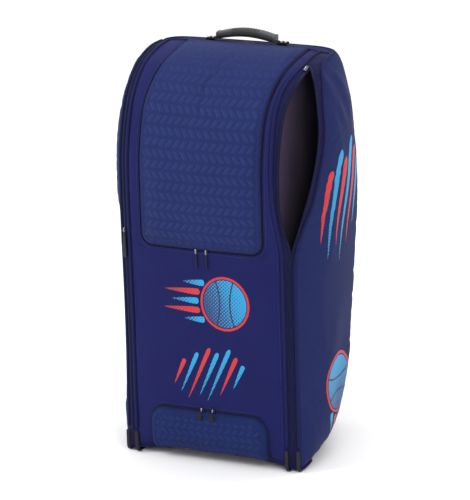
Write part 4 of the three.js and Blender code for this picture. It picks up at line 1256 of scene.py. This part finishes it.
def divider():
    """The pocket's inner wall: a sheet at one x between the front and the back sheets, with soft
    vertical folds of the lining, 1.6 mm high, and finer level ones."""
    v = np.linspace(0.05, 0.94, 150)
    s = np.linspace(0, 1, 601)[None, :] * half_girth(v)[:, None]
    around = lifted(v[:, None], s, -4.7)
    x = around[..., 0] / MM - SHIFT[0]
    inside = x > DIVIDER_X
    first = np.argmax(inside, axis=1)
    last = x.shape[1] - 1 - np.argmax(inside[:, ::-1], axis=1)
    row = np.arange(len(v))
    front_edge, back_edge = around[row, first], around[row, last]
    t = np.linspace(0, 1, 70)[None, :, None]
    grid = front_edge[:, None] * (1 - t) + back_edge[:, None] * t
    t = t[..., 0]
    folds = 1.6 * np.sin(t * 21 + 2.2 * np.sin(v[:, None] * 9)) * np.sin(np.pi * t)
    folds = folds + 0.8 * np.sin(v[:, None] * 60 + t * 8) * np.sin(np.pi * t)
    outer, inner = grid.copy(), grid.copy()
    outer[..., 0] = (DIVIDER_X + SHIFT[0] + 1.2 + folds) * MM
    inner[..., 0] = outer[..., 0] - 2.0 * MM
    uv = outer[..., 1:]
    # Painted shade: the edge mark darkens the sheet towards its front and back edges, where it meets the
    # walls.
    marks = {"edge": near(np.minimum(t, 1 - t) * 300 + 0 * v[:, None], 8)}
    piece = slab("pocket_divider_cloth", outer, inner, uv, [LINING, LINING], marks)
    return piece, outer


divider_cloth, outer = divider()
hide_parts("right_pocket_divider")

# %% [markdown]
# ## Piping and stitching
# Piping is a cord in a strip of cloth, caught in the seam. A curve with a bevel would do, but the
# sweep helper also gives it a UV map, so that its cover's weave runs along it. The stitches are a
# small brick repeated beside each seam.

# %% Piping in the four long seams
FOOT_V = float(v_at_height(50.0, SIDE_SEAM))
SEAMS = {
    "piping_left_front": (left_front_seam, -1),
    "piping_left_side": (left_side_seam, 1),
    "piping_right_front": (right_front_seam, 1),
    "piping_right_side": (right_side_seam, -1),
}


PATH_STEPS = 420


def along_seam(seam, offset, lift, start=FOOT_V + 0.004, end=HIGH):
    """Points and outward directions beside a seam."""
    v = np.linspace(start, end, PATH_STEPS)
    s = seam(v) + offset
    return lifted(v, s, lift), frame_at(v, s)[2]


for node, (seam, _) in SEAMS.items():
    path, outs = along_seam(seam, 0, 0.2)
    cord = sweep(node + "_cord", path, outs, ring_profile(3.3, 12), [PIPING])
    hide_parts(node)


def beside_flank(side, seam, offset):
    """Points and outward directions beside a seam, on a flank's own grid."""
    v = np.linspace(LOW + 0.01, HIGH, PATH_STEPS)
    s = seam(v) + offset
    return on_flank(side, v, s, 0.05), frame_at(v, s)[2]


STITCH, STITCH_FACES = brick(0.8, 3.4, 0.55, 0.5)
STITCH_PITCH = 0.0046


def seam_stitches(name, paths):
    """Rows of stitches along paths of points and outs."""
    piece = repeat_along(name, paths, STITCH, STITCH_FACES, STITCH_PITCH, [THREAD])
    return piece


seam_stitches(
    "seam_stitches",
    [
        along_seam(left_front_seam, 9.0, -0.2, LOW + 0.01),
        beside_flank("left", left_side_seam, -9.0),
        along_seam(right_front_seam, -9.0, -0.2, LOW + 0.01),
        beside_flank("right", right_side_seam, 9.0),
        beside_flank("right", back_seam, -8.0),
        beside_flank("left", lambda v: -back_seam(v), 8.0),
    ],
)

# %% [markdown]
# ## Zips
# A zip is two tapes with a row of teeth on each, drawn together by a slider. Round the lid and pocket
# only the narrow closed row shows. On the open side pocket the two rows part and follow the mouth's
# edges. Each tooth is a low block, repeated along the edge at its pitch.


# %% Zip tapes and teeth
def outline_path(half, v_edge, v_end, radius, upper, grow, lift):
    """The path round three sides of a rectangle with two rounded corners, from its left side round
    to its right side. grow widens it in mm."""
    half, radius = half + grow, radius + grow
    v_edge = v_edge + (grow if upper else -grow) / MM_PER_V
    turn = np.linspace(0, np.pi / 2, 14)
    depth = lambda mm: (-mm if upper else mm) / MM_PER_V
    side = np.linspace(v_end, v_edge + depth(radius), 200)
    left_corner = [-half + radius - radius * np.cos(turn), v_edge + depth(radius - radius * np.sin(turn))]
    level = np.linspace(-half + radius, half - radius, 120)
    s = np.concatenate([np.full(200, -half), left_corner[0][1:], level])
    v = np.concatenate([side, left_corner[1][1:], np.full(120, v_edge)])
    s, v = np.concatenate([s, -s[::-1][120:]]), np.concatenate([v, v[::-1][120:]])
    s = s if upper else s + lid_drift(v)
    return lifted(v, s, lift), frame_at(v, s)[2]


TOOTH, TOOTH_FACES = brick(2.8, 1.1, 1.1, 0.72)
EDGE_TOOTH, EDGE_TOOTH_FACES = brick(3.2, 1.7, 1.7, 0.7)


def closed_zip(name, node, tape, teeth_path, wide=12.0):
    """A tape with one row of closed teeth on it."""
    strip = sweep(name + "_tape", *tape, box_profile(wide, 0.8, 0.35, 2), [TAPE])
    teeth = repeat_along(name + "_teeth", [teeth_path], TOOTH, TOOTH_FACES, 0.0021, [TEETH])
    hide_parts(node)


LID_OUTLINE = (LID_HALF, LID_V, LID_TOP_V, LID_CORNER, False)
POCKET_OUTLINE = (POCKET_HALF, POCKET_V, LOW + 0.004, POCKET_CORNER, True)
closed_zip(
    "lid_zip", "lid_zip",
    outline_path(*LID_OUTLINE, ZIP_GAP / 2, -3.4), outline_path(*LID_OUTLINE, ZIP_GAP / 2, -3.0),
)
closed_zip(
    "pocket_zip", "pocket_zip",
    outline_path(*POCKET_OUTLINE, 1.0, 0.5), outline_path(*POCKET_OUTLINE, 1.0, 0.9), 7.0,
)


def band_line(sign, start, end, lift):
    """The middle of a closed band."""
    v = np.linspace(start, end, 300)
    s = sign * MID_BAND + 0 * v
    return lifted(v, s, lift), frame_at(v, s)[2]


for side, sign, top in (("left", -1, 0.962), ("right", 1, MOUTH_LOW)):
    tape_path, teeth_path = (band_line(sign, FOOT_V, top, lift) for lift in (-0.1, 0.2))
    closed_zip(side + "_zip", side + "_zip", tape_path, teeth_path, 6.0)

mouth_rows = [along_seam(mouth_front_edge, 1.0, -2.4, MOUTH_LOW, MOUTH_HIGH)]
mouth_rows.append(along_seam(mouth_side_edge, -1.0, -2.4, MOUTH_LOW, MOUTH_HIGH))
mouth_teeth = repeat_along("mouth_zip_teeth", mouth_rows, EDGE_TOOTH, EDGE_TOOTH_FACES, 0.0026, [TEETH])
for side, (path, outs) in zip(("front", "side"), mouth_rows):
    tape = sweep("mouth_tape_" + side, path, outs, box_profile(7.0, 0.9, 0.4, 2), [TAPE])
seam_stitches(
    "edge_stitches",
    [
        outline_path(*LID_OUTLINE, ZIP_GAP + 4.5, -0.6),
        outline_path(*POCKET_OUTLINE, 7.0, 0.0),
    ],
)

# %% [markdown]
# ## Sliders and pulls
# A slider is a small arched block with a bridge for its pull. The pulls are short rubber tabs. Each
# is a rounded strip swept down the cloth, narrow at its neck and full below, with shallow grip rings.


# %% Sliders and pulls
def slider(name, node, v, s, lift, long=9.5, wide=6.6):
    """A slider: a strip swept up the zip whose size swells in the middle, with a bridge over it."""
    rows = v + np.linspace(-long / 2, long / 2, 15) / MM_PER_V
    path, outs = lifted(rows, s + 0 * rows, lift), frame_at(rows, s + 0 * rows)[2]
    swell = 0.72 + 0.28 * np.sin(np.linspace(0.15, 1, 15) * np.pi * 0.8)
    body = sweep(name, path, outs, box_profile(wide, 3.0, 1.0), [GUNMETAL], scale=swell)
    rise = lift + 1.6 + 1.9 * np.sin(np.linspace(0, np.pi, 15))
    arch = lifted(rows, s + 0 * rows, rise)
    bridge = sweep(name + "_bridge", arch, outs, box_profile(1.6, 0.9, 0.35), [STEEL])
    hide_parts(node)
    return body


def pull_tab(name, node, v, s, lift, wide, long, tilt=0.0):
    """A tab that hangs from its slider: a strip down the cloth, narrow at its neck, full at its end."""
    t = np.linspace(0, 1, 26)
    rows = v - t * long / MM_PER_V
    places = s + tilt * t
    path, outs = lifted(rows, places, lift + 0.5 * np.sin(t * np.pi)), frame_at(rows, places)[2]
    neck = np.clip(0.55 + 1.6 * t, 0, 1) * np.sqrt(np.clip((1.0 - t) / 0.06, 0.05, 1))
    grip = 1 + 0.06 * np.sin(t * 2 * np.pi * 7) * (t > 0.35) * (t < 0.9)
    tab = sweep(name, path, outs, box_profile(wide, 2.4, 0.9), [PULL_RUBBER], scale=neck * grip)
    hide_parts(node)
    return tab


lid_slider_v = float(v_at_height(LID_BOTTOM - 4.0))
pocket_slider_v = float(v_at_height(POCKET_TOP + 2.0))
for side, place in (("left", -13.5), ("right", 9.0)):
    slider("lid_slider_" + side + "_body", "lid_slider_" + side, lid_slider_v, place, 1.4)
    start = lid_slider_v - 4 / MM_PER_V
    pull_tab("lid_pull_" + side + "_tab", "lid_pull_" + side, start, place, 2.2, 4.2, 32, 0.6)
for side, place in (("left", -14.0), ("right", 11.0)):
    slider("pocket_slider_" + side + "_body", "pocket_slider_" + side, pocket_slider_v, place, 3.2, 9.0, 8.0)
    start = pocket_slider_v - 1 / MM_PER_V
    pull_tab("pocket_pull_" + side + "_tab", "pocket_pull_" + side, start, place, 13.4, 9.5, 21, place / 6)
left_v = float(v_at_height(484.0, -MID_BAND))
slider("left_slider_body", "left_slider", left_v, -MID_BAND, 2.2)
pull_tab("left_pull_tab", "left_pull", left_v - 5 / MM_PER_V, -MID_BAND, 3.4, 10.0, 54)
slider("right_slider_body", "right_slider", MOUTH_HIGH - 0.02, MID_BAND - 2, 1.0, 15.0, 9.0)

# %% [markdown]
# ## Handle
# The grip is a moulded rubber sleeve over a webbing strap that arches off the top. Its profile is a
# rounded rectangle, and the grooves between its rings are a wave along its length that stops before
# the smooth, flared ends. A mark darkens them with painted shade. The strap's two ends are clamped by
# moulded brackets with two rivets each.

# %% Grip, strap and brackets
grip_low, grip_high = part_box("handle_grip")
strap_low, strap_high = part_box("handle_strap")
grip_middle_y = (grip_low[1] + grip_high[1]) / 2
grip_length = grip_high[0] - grip_low[0]
centre_x = (grip_low[0] + grip_high[0]) / 2


def strap_height(x):
    """The strap's underside: an arch 10 mm high between its ends."""
    half = (strap_high[0] - strap_low[0]) / 2
    return strap_low[2] + 0.010 * np.cos(np.pi * (x - centre_x) / (2 * half))


def grip_piece():
    """Rings across the sleeve, which sits on the strap's arch. It is nearly as thick at its ends as in
    its middle, its ends flare by 1.4 mm, and ten grooves 3 mm deep cut its upper two thirds."""
    t = np.linspace(-1, 1, 321)
    x = centre_x + t * grip_length / 2
    base = strap_height(x) + 0.0022
    thick = 0.0122 + 0.0022 * (1 - t * t)
    turn = np.linspace(0, 2 * np.pi, 41)[:-1]
    sin, cos = np.sin(turn), np.cos(turn)
    reach = (np.abs(sin) ** 4 + np.abs(cos) ** 4) ** -0.25
    ribbed = np.clip((0.47 - np.abs(t)) / 0.03, 0, 1)
    groove = ribbed * np.clip(0.7 - 1.6 * np.cos(t * np.pi * 10 / 0.47), 0, 1)
    flare = 0.0014 * np.exp(-(((1 - np.abs(t)) / 0.06) ** 2))
    closing = np.sqrt(np.clip((1 - np.abs(t)) / 0.012, 0.3, 1))
    half_y = (((grip_high[1] - grip_low[1]) / 2 - 0.0012 + flare) * closing)[:, None]
    half_z = ((thick / 2 + flare) * closing)[:, None]
    upper = np.clip(sin * 1.5 + 0.8, 0, 1)[None, :]
    y = grip_middle_y + half_y * (reach * cos)[None, :]
    z = (base + thick / 2)[:, None] + (half_z - 0.003 * groove[:, None] * upper) * (reach * sin)[None, :]
    points = np.stack([np.broadcast_to(x[:, None], y.shape), y, z], -1)
    middles = np.stack([x, 0 * x + grip_middle_y, base + thick / 2], -1)[[0, -1]]
    # Painted shade: the edge mark follows the grooves' depth and darkens them.
    marks = {"edge": np.append((groove[:, None] * upper).ravel(), [0, 0])}
    points = np.concatenate([points.reshape(-1, 3), middles])
    faces = tube_faces(*y.shape)
    return link_mesh("grip_sleeve", points, faces, marks=marks, materials=[RUBBER], sharp=60)


grip = grip_piece()
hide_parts("handle_grip")

x = np.linspace(strap_low[0], strap_high[0], 90)
strap_path = np.stack([x, 0 * x + grip_middle_y, strap_height(x) + 0.0012], -1)
strap = sweep(
    "strap_webbing", strap_path, np.tile([0.0, 0.0, 1.0], (90, 1)), box_profile(21.6, 2.2, 0.9), [WEBBING]
)
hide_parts("handle_strap")

RIVET_RADIUS, RIVET_RISE, RIVET_STEPS = 0.0028, 0.0011, 24


def rivet_head(name, low, high):
    """A domed head: six rings whose radius grows as their height falls, closed at both ends."""
    middle = (np.array(low) + np.array(high)) / 2
    share = np.array([0.02, 0.5, 0.8, 0.95, 1.0, 1.0])
    level = np.array([1.0, 0.95, 0.75, 0.4, 0.0, -1.2])
    turn = np.arange(RIVET_STEPS) * 2 * np.pi / RIVET_STEPS
    ring = np.stack([np.cos(turn), np.sin(turn)], -1) * RIVET_RADIUS
    points = np.concatenate([ring[None] * share[:, None, None], np.full((6, RIVET_STEPS, 1), 0.0)], -1)
    points[..., 2] = (level * RIVET_RISE)[:, None]
    points = points + [middle[0], middle[1], low[2]]
    faces = quads(6, RIVET_STEPS, wrap=True)[:, ::-1]
    cap = np.arange(RIVET_STEPS)[None, :]
    bottom = (np.arange(RIVET_STEPS) + 5 * RIVET_STEPS)[None, ::-1]
    return link_mesh(name, points.reshape(-1, 3), [*faces, *cap, *bottom], materials=[STEEL])


for side, sign in (("left", -1), ("right", 1)):
    low, high = (np.array(c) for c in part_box("handle_anchor_" + side))
    t = np.linspace(0, 1, 30)
    x = low[0] + (high[0] - low[0]) * t
    path = np.stack([x, 0 * t + grip_middle_y, 0 * t + (low[2] + high[2]) / 2], -1)
    inward = t if sign < 0 else 1 - t
    size = np.sqrt(np.clip(np.minimum(t, 1 - t) / 0.1, 0.18, 1)) * (0.8 + 0.2 * inward)
    upward = np.tile([0.0, 0.0, 1.0], (30, 1))
    bracket = sweep("bracket_" + side, path, upward, box_profile(24.0, 5.0, 1.8), [BRACKET], scale=size)
    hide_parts("handle_anchor_" + side)
    for k in (1, 2):
        node = "handle_rivet_" + side + "_" + str(k)
        rivet = rivet_head("rivet_" + side + "_" + str(k), *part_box(node))
        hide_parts(node)
print("handle spans", round(float(grip_length), 3), "m")

# %% [markdown]
# ## Feet, wheel base and wheels
# The feet are moulded strips over the lower ends of the seams. They turn under the base, so they are
# swept along a path that comes down the front and bends back. The wheel base is one moulded shell. Its
# side outline is carried across the bag, drawn in a little at both sides so that its edges are round,
# and shallow ribs run up its back.

# %% Feet
FOOT_WIDTH, FOOT_THICK = 7.4, 3.9


def foot_path(box_low, box_high):
    """Down the front of the foot, round its toe and back under the base, rounded by averaging."""
    front_y = box_low[1] + 0.002
    corners = np.array(
        [
            [front_y + 0.0002, box_high[2]],
            [front_y, 0.012],
            [front_y + 0.003, 0.0045],
            [front_y + 0.009, 0.0021],
            [box_high[1] - 0.001, 0.0021],
        ]
    )
    run = np.concatenate([[0], np.cumsum(np.linalg.norm(np.diff(corners, axis=0), axis=1))])
    fine = np.linspace(0, run[-1], 60)
    y, z = np.interp(fine, run, corners[:, 0]), np.interp(fine, run, corners[:, 1])
    soft = np.ones(5) / 5
    y[2:-2], z[2:-2] = np.convolve(y, soft, "valid"), np.convolve(z, soft, "valid")
    x = np.full(60, (box_low[0] + box_high[0]) / 2)
    return np.stack([x, y, z], -1)


for node in ("foot_left_side", "foot_left_front", "foot_right_front", "foot_right_side"):
    low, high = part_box(node)
    path = foot_path(np.array(low), np.array(high))
    ahead = tangents(path)
    outs = unit(np.cross(np.array([1.0, 0.0, 0.0]), ahead))
    run = np.linspace(0, 1, 60)
    size = np.sqrt(np.clip(np.minimum(run, 1 - run) / 0.03, 0.25, 1))
    profile = box_profile(FOOT_WIDTH, FOOT_THICK, 1.3)
    foot = sweep(node + "_strip", path, outs, profile, [PLASTIC], scale=size)
    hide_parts(node)


# %% Wheel base
WHEEL_RADIUS, WHEEL_FROM_FRONT = 38.0, 292.0
BASE_OUTLINE = table(
    "along up",
    [[0.0, 0.2], [0.9, 0.4], [1.12, 0.75], [1.21, 1.5], [1.25, 2.8], [1.26, 4.2], [1.22, 4.9]],
)


def base_profile():
    """The base's side outline in metres: below from the table, above from the bag's own back."""
    start = float(skin(LOW, half_girth(LOW))[1] / MM - SHIFT[1]) + 6
    reach = WHEEL_FROM_FRONT - start
    below = np.column_stack([start + BASE_OUTLINE["along"] * reach, BASE_OUTLINE["up"] * WHEEL_RADIUS])
    v = np.linspace(0.27, 0.03, 40)
    seat = lifted(v, half_girth(v), 2.6)[:, 1:] / MM - [SHIFT[1], 0]
    seat = seat[seat[:, 0] > start]
    run = np.concatenate([[0], np.cumsum(np.linalg.norm(np.diff(below, axis=0), axis=1))])
    fine = np.linspace(0, run[-1], 90)
    smooth = np.column_stack([np.interp(fine, run, below[:, k]) for k in (0, 1)])
    kernel = np.ones(9) / 9
    smooth[4:-4] = np.column_stack([np.convolve(smooth[:, k], kernel, "valid") for k in (0, 1)])
    loop = np.concatenate([smooth, seat])
    return (loop + [SHIFT[1], 0]) * MM


def wheel_base():
    """The outline carried across the bag. Near its sides it is drawn in towards its middle by
    6 mm (1 - sqrt(1 - e^2)), and ribs 1.6 mm high stand on its back at an even pitch."""
    loop = base_profile()
    low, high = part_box("wheel_base")
    rim = 0.006 * (1 - np.cos(np.linspace(0, np.pi / 2, 7)))
    x = np.concatenate([low[0] + rim, np.linspace(low[0] + 0.009, high[0] - 0.009, 85), high[0] - rim[::-1]])
    e = np.clip(1 - np.minimum(x - low[0], high[0] - x) / 0.006, 0, 1)
    inset = 0.006 * (1 - np.sqrt(1 - e * e))
    ahead = unit(np.roll(loop, -1, axis=0) - np.roll(loop, 1, axis=0))
    normal = np.column_stack([ahead[:, 1], -ahead[:, 0]])
    behind = np.clip((normal[:, 0] - 0.2) / 0.5, 0, 1) * np.clip((loop[:, 1] - 0.05) / 0.02, 0, 1)
    behind = behind * np.clip((loop[:, 1].max() - 0.02 - loop[:, 1]) / 0.015, 0, 1)
    wave = np.clip(np.cos((x - (low[0] + high[0]) / 2) * 2 * np.pi / 0.035) * 2.2 - 0.9, 0, 1)
    offset = 0.0016 * behind[None, :] * wave[:, None] - inset[:, None]
    grid = loop[None] + normal[None] * offset[..., None]
    points = np.concatenate([np.broadcast_to(x[:, None, None], (*grid.shape[:2], 1)), grid], -1)
    middles = np.concatenate([points[0].mean(0)[None], points[-1].mean(0)[None]])
    points = np.concatenate([points.reshape(-1, 3), middles])
    return link_mesh("wheel_base_shell", points, tube_faces(*grid.shape[:2]), materials=[PLASTIC])


base = wheel_base()
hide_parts("wheel_base")
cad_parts["wheel_axle"].data.materials.clear()
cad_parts["wheel_axle"].data.materials.append(STEEL)
print("wheel base", len(base.data.polygons), "faces")


# %% Wheels
def turned(name, radii, offsets, centre, steps, material, body, relief=None):
    """A profile of radii and sideways offsets in metres, turned about the X axis through centre."""
    turn = np.arange(steps) * 2 * np.pi / steps
    r = np.asarray(radii)[:, None] + 0 * turn[None, :]
    x = np.asarray(offsets)[:, None] + 0 * turn[None, :]
    if relief is not None:
        r, x = relief(r, x, turn[None, :])
    points = np.stack([centre[0] + x, centre[1] + r * np.sin(turn), centre[2] + r * np.cos(turn)], -1)
    rows = len(radii)
    index = np.arange(rows * steps).reshape(rows, steps)
    index = np.concatenate([index, index[:1]], axis=0)
    index = np.concatenate([index, index[:, :1]], axis=1)
    faces = np.stack([index[:-1, :-1], index[1:, :-1], index[1:, 1:], index[:-1, 1:]], -1).reshape(-1, 4)
    return link_mesh(name, points.reshape(-1, 3), faces, body, materials=[material], sharp=40)


def tread(r, x, turn):
    """Shallow grooves across the tyre: 0.7 mm where a wave of 36 turns is low, on the outer band."""
    outer = np.clip((r - 0.0365) / 0.001, 0, 1)
    return r - 0.0007 * outer * np.clip(-np.cos(turn * 36) * 3 - 1.2, 0, 1), x


def spokes(r, x, turn):
    """Five hollows between the spokes, pressed 2.4 mm into both faces of the disc."""
    ring = np.clip((r - 0.0135) / 0.002, 0, 1) * np.clip((0.0245 - r) / 0.002, 0, 1)
    hollow = np.clip(np.cos(turn * 5) * 3 + 0.8, 0, 1) * ring
    return r, x - np.sign(x) * 0.0024 * hollow


for side, body in (("left", "wheel_left"), ("right", "wheel_right")):
    low, high = (np.array(c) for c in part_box("wheel_" + side))
    centre, half = (low + high) / 2, (high[0] - low[0]) / 2
    angle = np.linspace(-1, 1, 13)
    crown = 0.03 + 0.008 * (1 - np.abs(angle) ** 3.2) ** 0.5
    crown = np.concatenate([[0.0262, 0.0268], crown, [0.0268, 0.0262]])
    across = np.concatenate([[-0.8, -0.93], angle * 0.98, [0.93, 0.8]]) * half
    bore = np.array([0.0255, 0.0255])
    tyre = turned(
        "tyre_" + side, np.concatenate([crown, bore]), np.concatenate([across, [0.7 * half, -0.7 * half]]),
        centre, 180, TYRE, body, tread,
    )
    radii = np.array([0.0058, 0.0075, 0.0085, 0.0095, 0.0125, 0.014, 0.018, 0.0235, 0.0248, 0.0256, 0.0262])
    face = np.array([1.0, 1.0, 0.96, 0.72, 0.62, 0.6, 0.6, 0.62, 0.82, 0.86, 0.8]) * half
    hub = turned(
        "hub_" + side, np.concatenate([radii, radii[::-1]]), np.concatenate([-face, face[::-1]]),
        centre, 120, HUB, body, spokes,
    )
    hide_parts("wheel_" + side)
print("wheels of radius", round(float(high[2] - low[2]) / 2, 4))

# %% [markdown]
# ## Prints
# The bag carries a plain ball mark and rows of slanted strokes, in red and light blue. They are thin
# pieces laid on the cloth. Each stroke is a band between two curves, so a grid fits it exactly and
# follows the folds beneath, and a shade mark along it drives the dots of the print.


# %% Print helpers
def print_patch(name, s, z, shade, material, centre, turn=0.0, lift=0.45):
    """A grid given in mm right and up of a centre, turned in the cloth's plane, and laid on it: on
    the front's relief, or beyond the front seam on the right flank's own grid."""
    cos, sin = math.cos(turn), math.sin(turn)
    right, rise = s * cos - z * sin, s * sin + z * cos
    v, around = centre[1] + rise / MM_PER_V, centre[0] + right
    if centre[0] < FRONT_SEAM:
        relief = front_relief(v, around)
        top, low = lifted(v, around, relief + lift), lifted(v, around, relief + lift - 0.3)
    else:
        top, low = on_flank("right", v, around, lift), on_flank("right", v, around, lift - 0.3)
    return slab(name, top, low, cloth_uv(v, around), [material, material], {"edge": shade})


def stroke(start, end, wide, bow=0.0):
    """A stroke that widens from a point, wide/2 (t / 0.8)^0.7, and ends blunt and round. It bows to one
    side by bow sin(pi t), and its edges are a little rough. Gives s, z and the share along it."""
    t = np.linspace(0, 1, 44)[:, None] ** 0.8
    w = np.linspace(1, -1, 7)[None, :]
    start, end = np.array(start, float), np.array(end, float)
    chord = end - start
    normal = np.array([-chord[1], chord[0]]) / np.hypot(*chord)
    blunt = np.sqrt(np.clip((1 - t) / 0.05, 0.02, 1))
    half = wide / 2 * np.minimum(t / 0.8 + 0.01, 1) ** 0.7 * blunt
    rough = 1 + 0.05 * np.sin(t * 61 + w * 2) + 0.04 * np.sin(t * 143 + 1.0)
    line = start + chord * t
    bend = bow * np.sin(np.pi * t) + w * half * rough
    return line[:, :1] + normal[0] * bend, line[:, 1:] + normal[1] * bend, t + 0 * w


def ring_band(inner, outer, steps=96, rows=8):
    """A ring between two radii in mm."""
    r = np.linspace(inner, outer, rows)[None, :]
    turn = np.linspace(0, 2 * math.pi, steps)[:, None]
    return r * np.cos(turn), r * np.sin(turn)


# %% Ball and stroke prints
SEAM_INK = ink("Dark seam print", (24, 34, 84), (20, 26, 66))
TRAILS = ((0.74, 0.95), (0.38, 1.55), (0.02, 1.2), (-0.34, 1.6), (-0.7, 0.9))


def ball_mark(name, centre, radius, turn):
    """A ball with two stitched seams, a red rim, and five tapered strokes that trail behind it."""
    s, z = ring_band(0.4, radius * 0.93, rows=26, steps=90)
    shade = np.clip(0.56 - s / radius * 0.5 - z / radius * 0.2, 0, 1)
    print_patch(name + "_ball", s, z, shade, CYAN_INK, centre, turn)
    s, z = ring_band(radius * 0.965, radius * 1.06, rows=4)
    print_patch(name + "_rim", s, z, 0.15 + 0 * s, RED_INK, centre, turn)
    t = np.linspace(-1, 1, 44)[:, None]
    w = np.linspace(-1, 1, 5)[None, :]
    for k, side in enumerate((-1, 1)):
        s = side * radius * (0.22 + 0.16 * t * t) + w * radius * 0.028
        z = t * radius * 0.86 + 0 * w
        print_patch(name + "_seam_" + str(k), s, z, 1 + 0 * s, SEAM_INK, centre, turn, 0.75)
    for k, (up, long) in enumerate(TRAILS):
        near_end = -math.sqrt(1.3 - up * up) * radius
        s, z, t = stroke((near_end - long * radius, up * radius), (near_end, up * radius), radius * 0.24)
        colour = RED_INK if k % 2 else CYAN_INK
        print_patch(name + "_trail_" + str(k), s, z, 0.85 - 0.85 * t, colour, centre, turn)


def dash_mark(name, centre, heights, spacing, wide, slant, colours, bow=0.0):
    """Slanted strokes side by side. Each reaches its own height above and below the centre."""
    for k, (high, colour) in enumerate(zip(heights, colours)):
        middle = (k - (len(heights) - 1) / 2) * spacing
        lean = high * slant
        s, z, t = stroke((middle - lean, -high), (middle + lean, high), wide, bow)
        material = CYAN_INK if colour == "c" else RED_INK
        print_patch(name + "_" + str(k), s, z, 0.55 * (1 - t), material, centre)


def centre_at(s, z):
    """The centre of a print at the distance s, where the skin reaches the height z in mm."""
    return s, float(v_at_height(z, s))


ball_mark("front_mark", centre_at(46.0, 352.0), 51.0, 0.0)
dash_mark("front_dashes", centre_at(4.0, 196.0), (26, 42, 54, 46, 55, 40, 25), 22.0, 9.0, 0.5, "rcrccrc")
ball_mark("side_mark", centre_at(338.0, 152.0), 60.0, math.radians(96))
dash_mark("side_dashes", centre_at(352.0, 548.0), (70, 104, 84, 118, 92, 66), 27.0, 17.0, 0.3, "rcrcrc", 6.0)
print("prints laid")

# %% [markdown]
# ## Floor and light
# A plain pale floor and three large soft lamps: a key from the left, a fill from the front right and
# one from above and behind. A white world fills the shadows, as a photographer's white cove does.

# %% Stage
floor_mesh = bpy.data.meshes.new("floor")
floor_mesh.from_pydata([(-6, -6, 0), (6, -6, 0), (6, 6, 0), (-6, 6, 0)], [], [(0, 1, 2, 3)])
floor_material, tree, shader = start_material("Floor", 0.9)
shader.inputs["Base Color"].default_value = (0.93, 0.93, 0.93, 1.0)
floor_mesh.materials.append(floor_material)
floor = bpy.data.objects.new("floor", floor_mesh)
bpy.context.collection.objects.link(floor)

LAMPS = {
    "key": ((-2.6, -1.7, 2.6), 1.2, 62.0),
    "fill": ((2.2, -2.6, 2.8), 1.2, 34.0),
    "top": ((0.5, 0.9, 3.2), 1.4, 30.0),
}
for name, (place, size, watts) in LAMPS.items():
    light = bpy.data.lights.new(name, "AREA")
    light.size, light.energy = size, watts
    lamp = bpy.data.objects.new(name, light)
    aim = unit(np.array(place) - np.array([0.0, 0.0, 0.42]))
    side = unit(np.cross([0.0, 0.0, 1.0], aim))
    lamp.matrix_world = np.array([[*side, 0], [*np.cross(aim, side), 0], [*aim, 0], [*place, 1]]).tolist()
    bpy.context.collection.objects.link(lamp)
world = bpy.data.worlds.new("studio")
world.use_nodes = True
world.node_tree.nodes["Background"].inputs["Color"].default_value = (1.0, 1.0, 1.0, 1.0)
world.node_tree.nodes["Background"].inputs["Strength"].default_value = 1.0
bpy.context.scene.world = world
bpy.context.scene.view_settings.view_transform = "Standard"
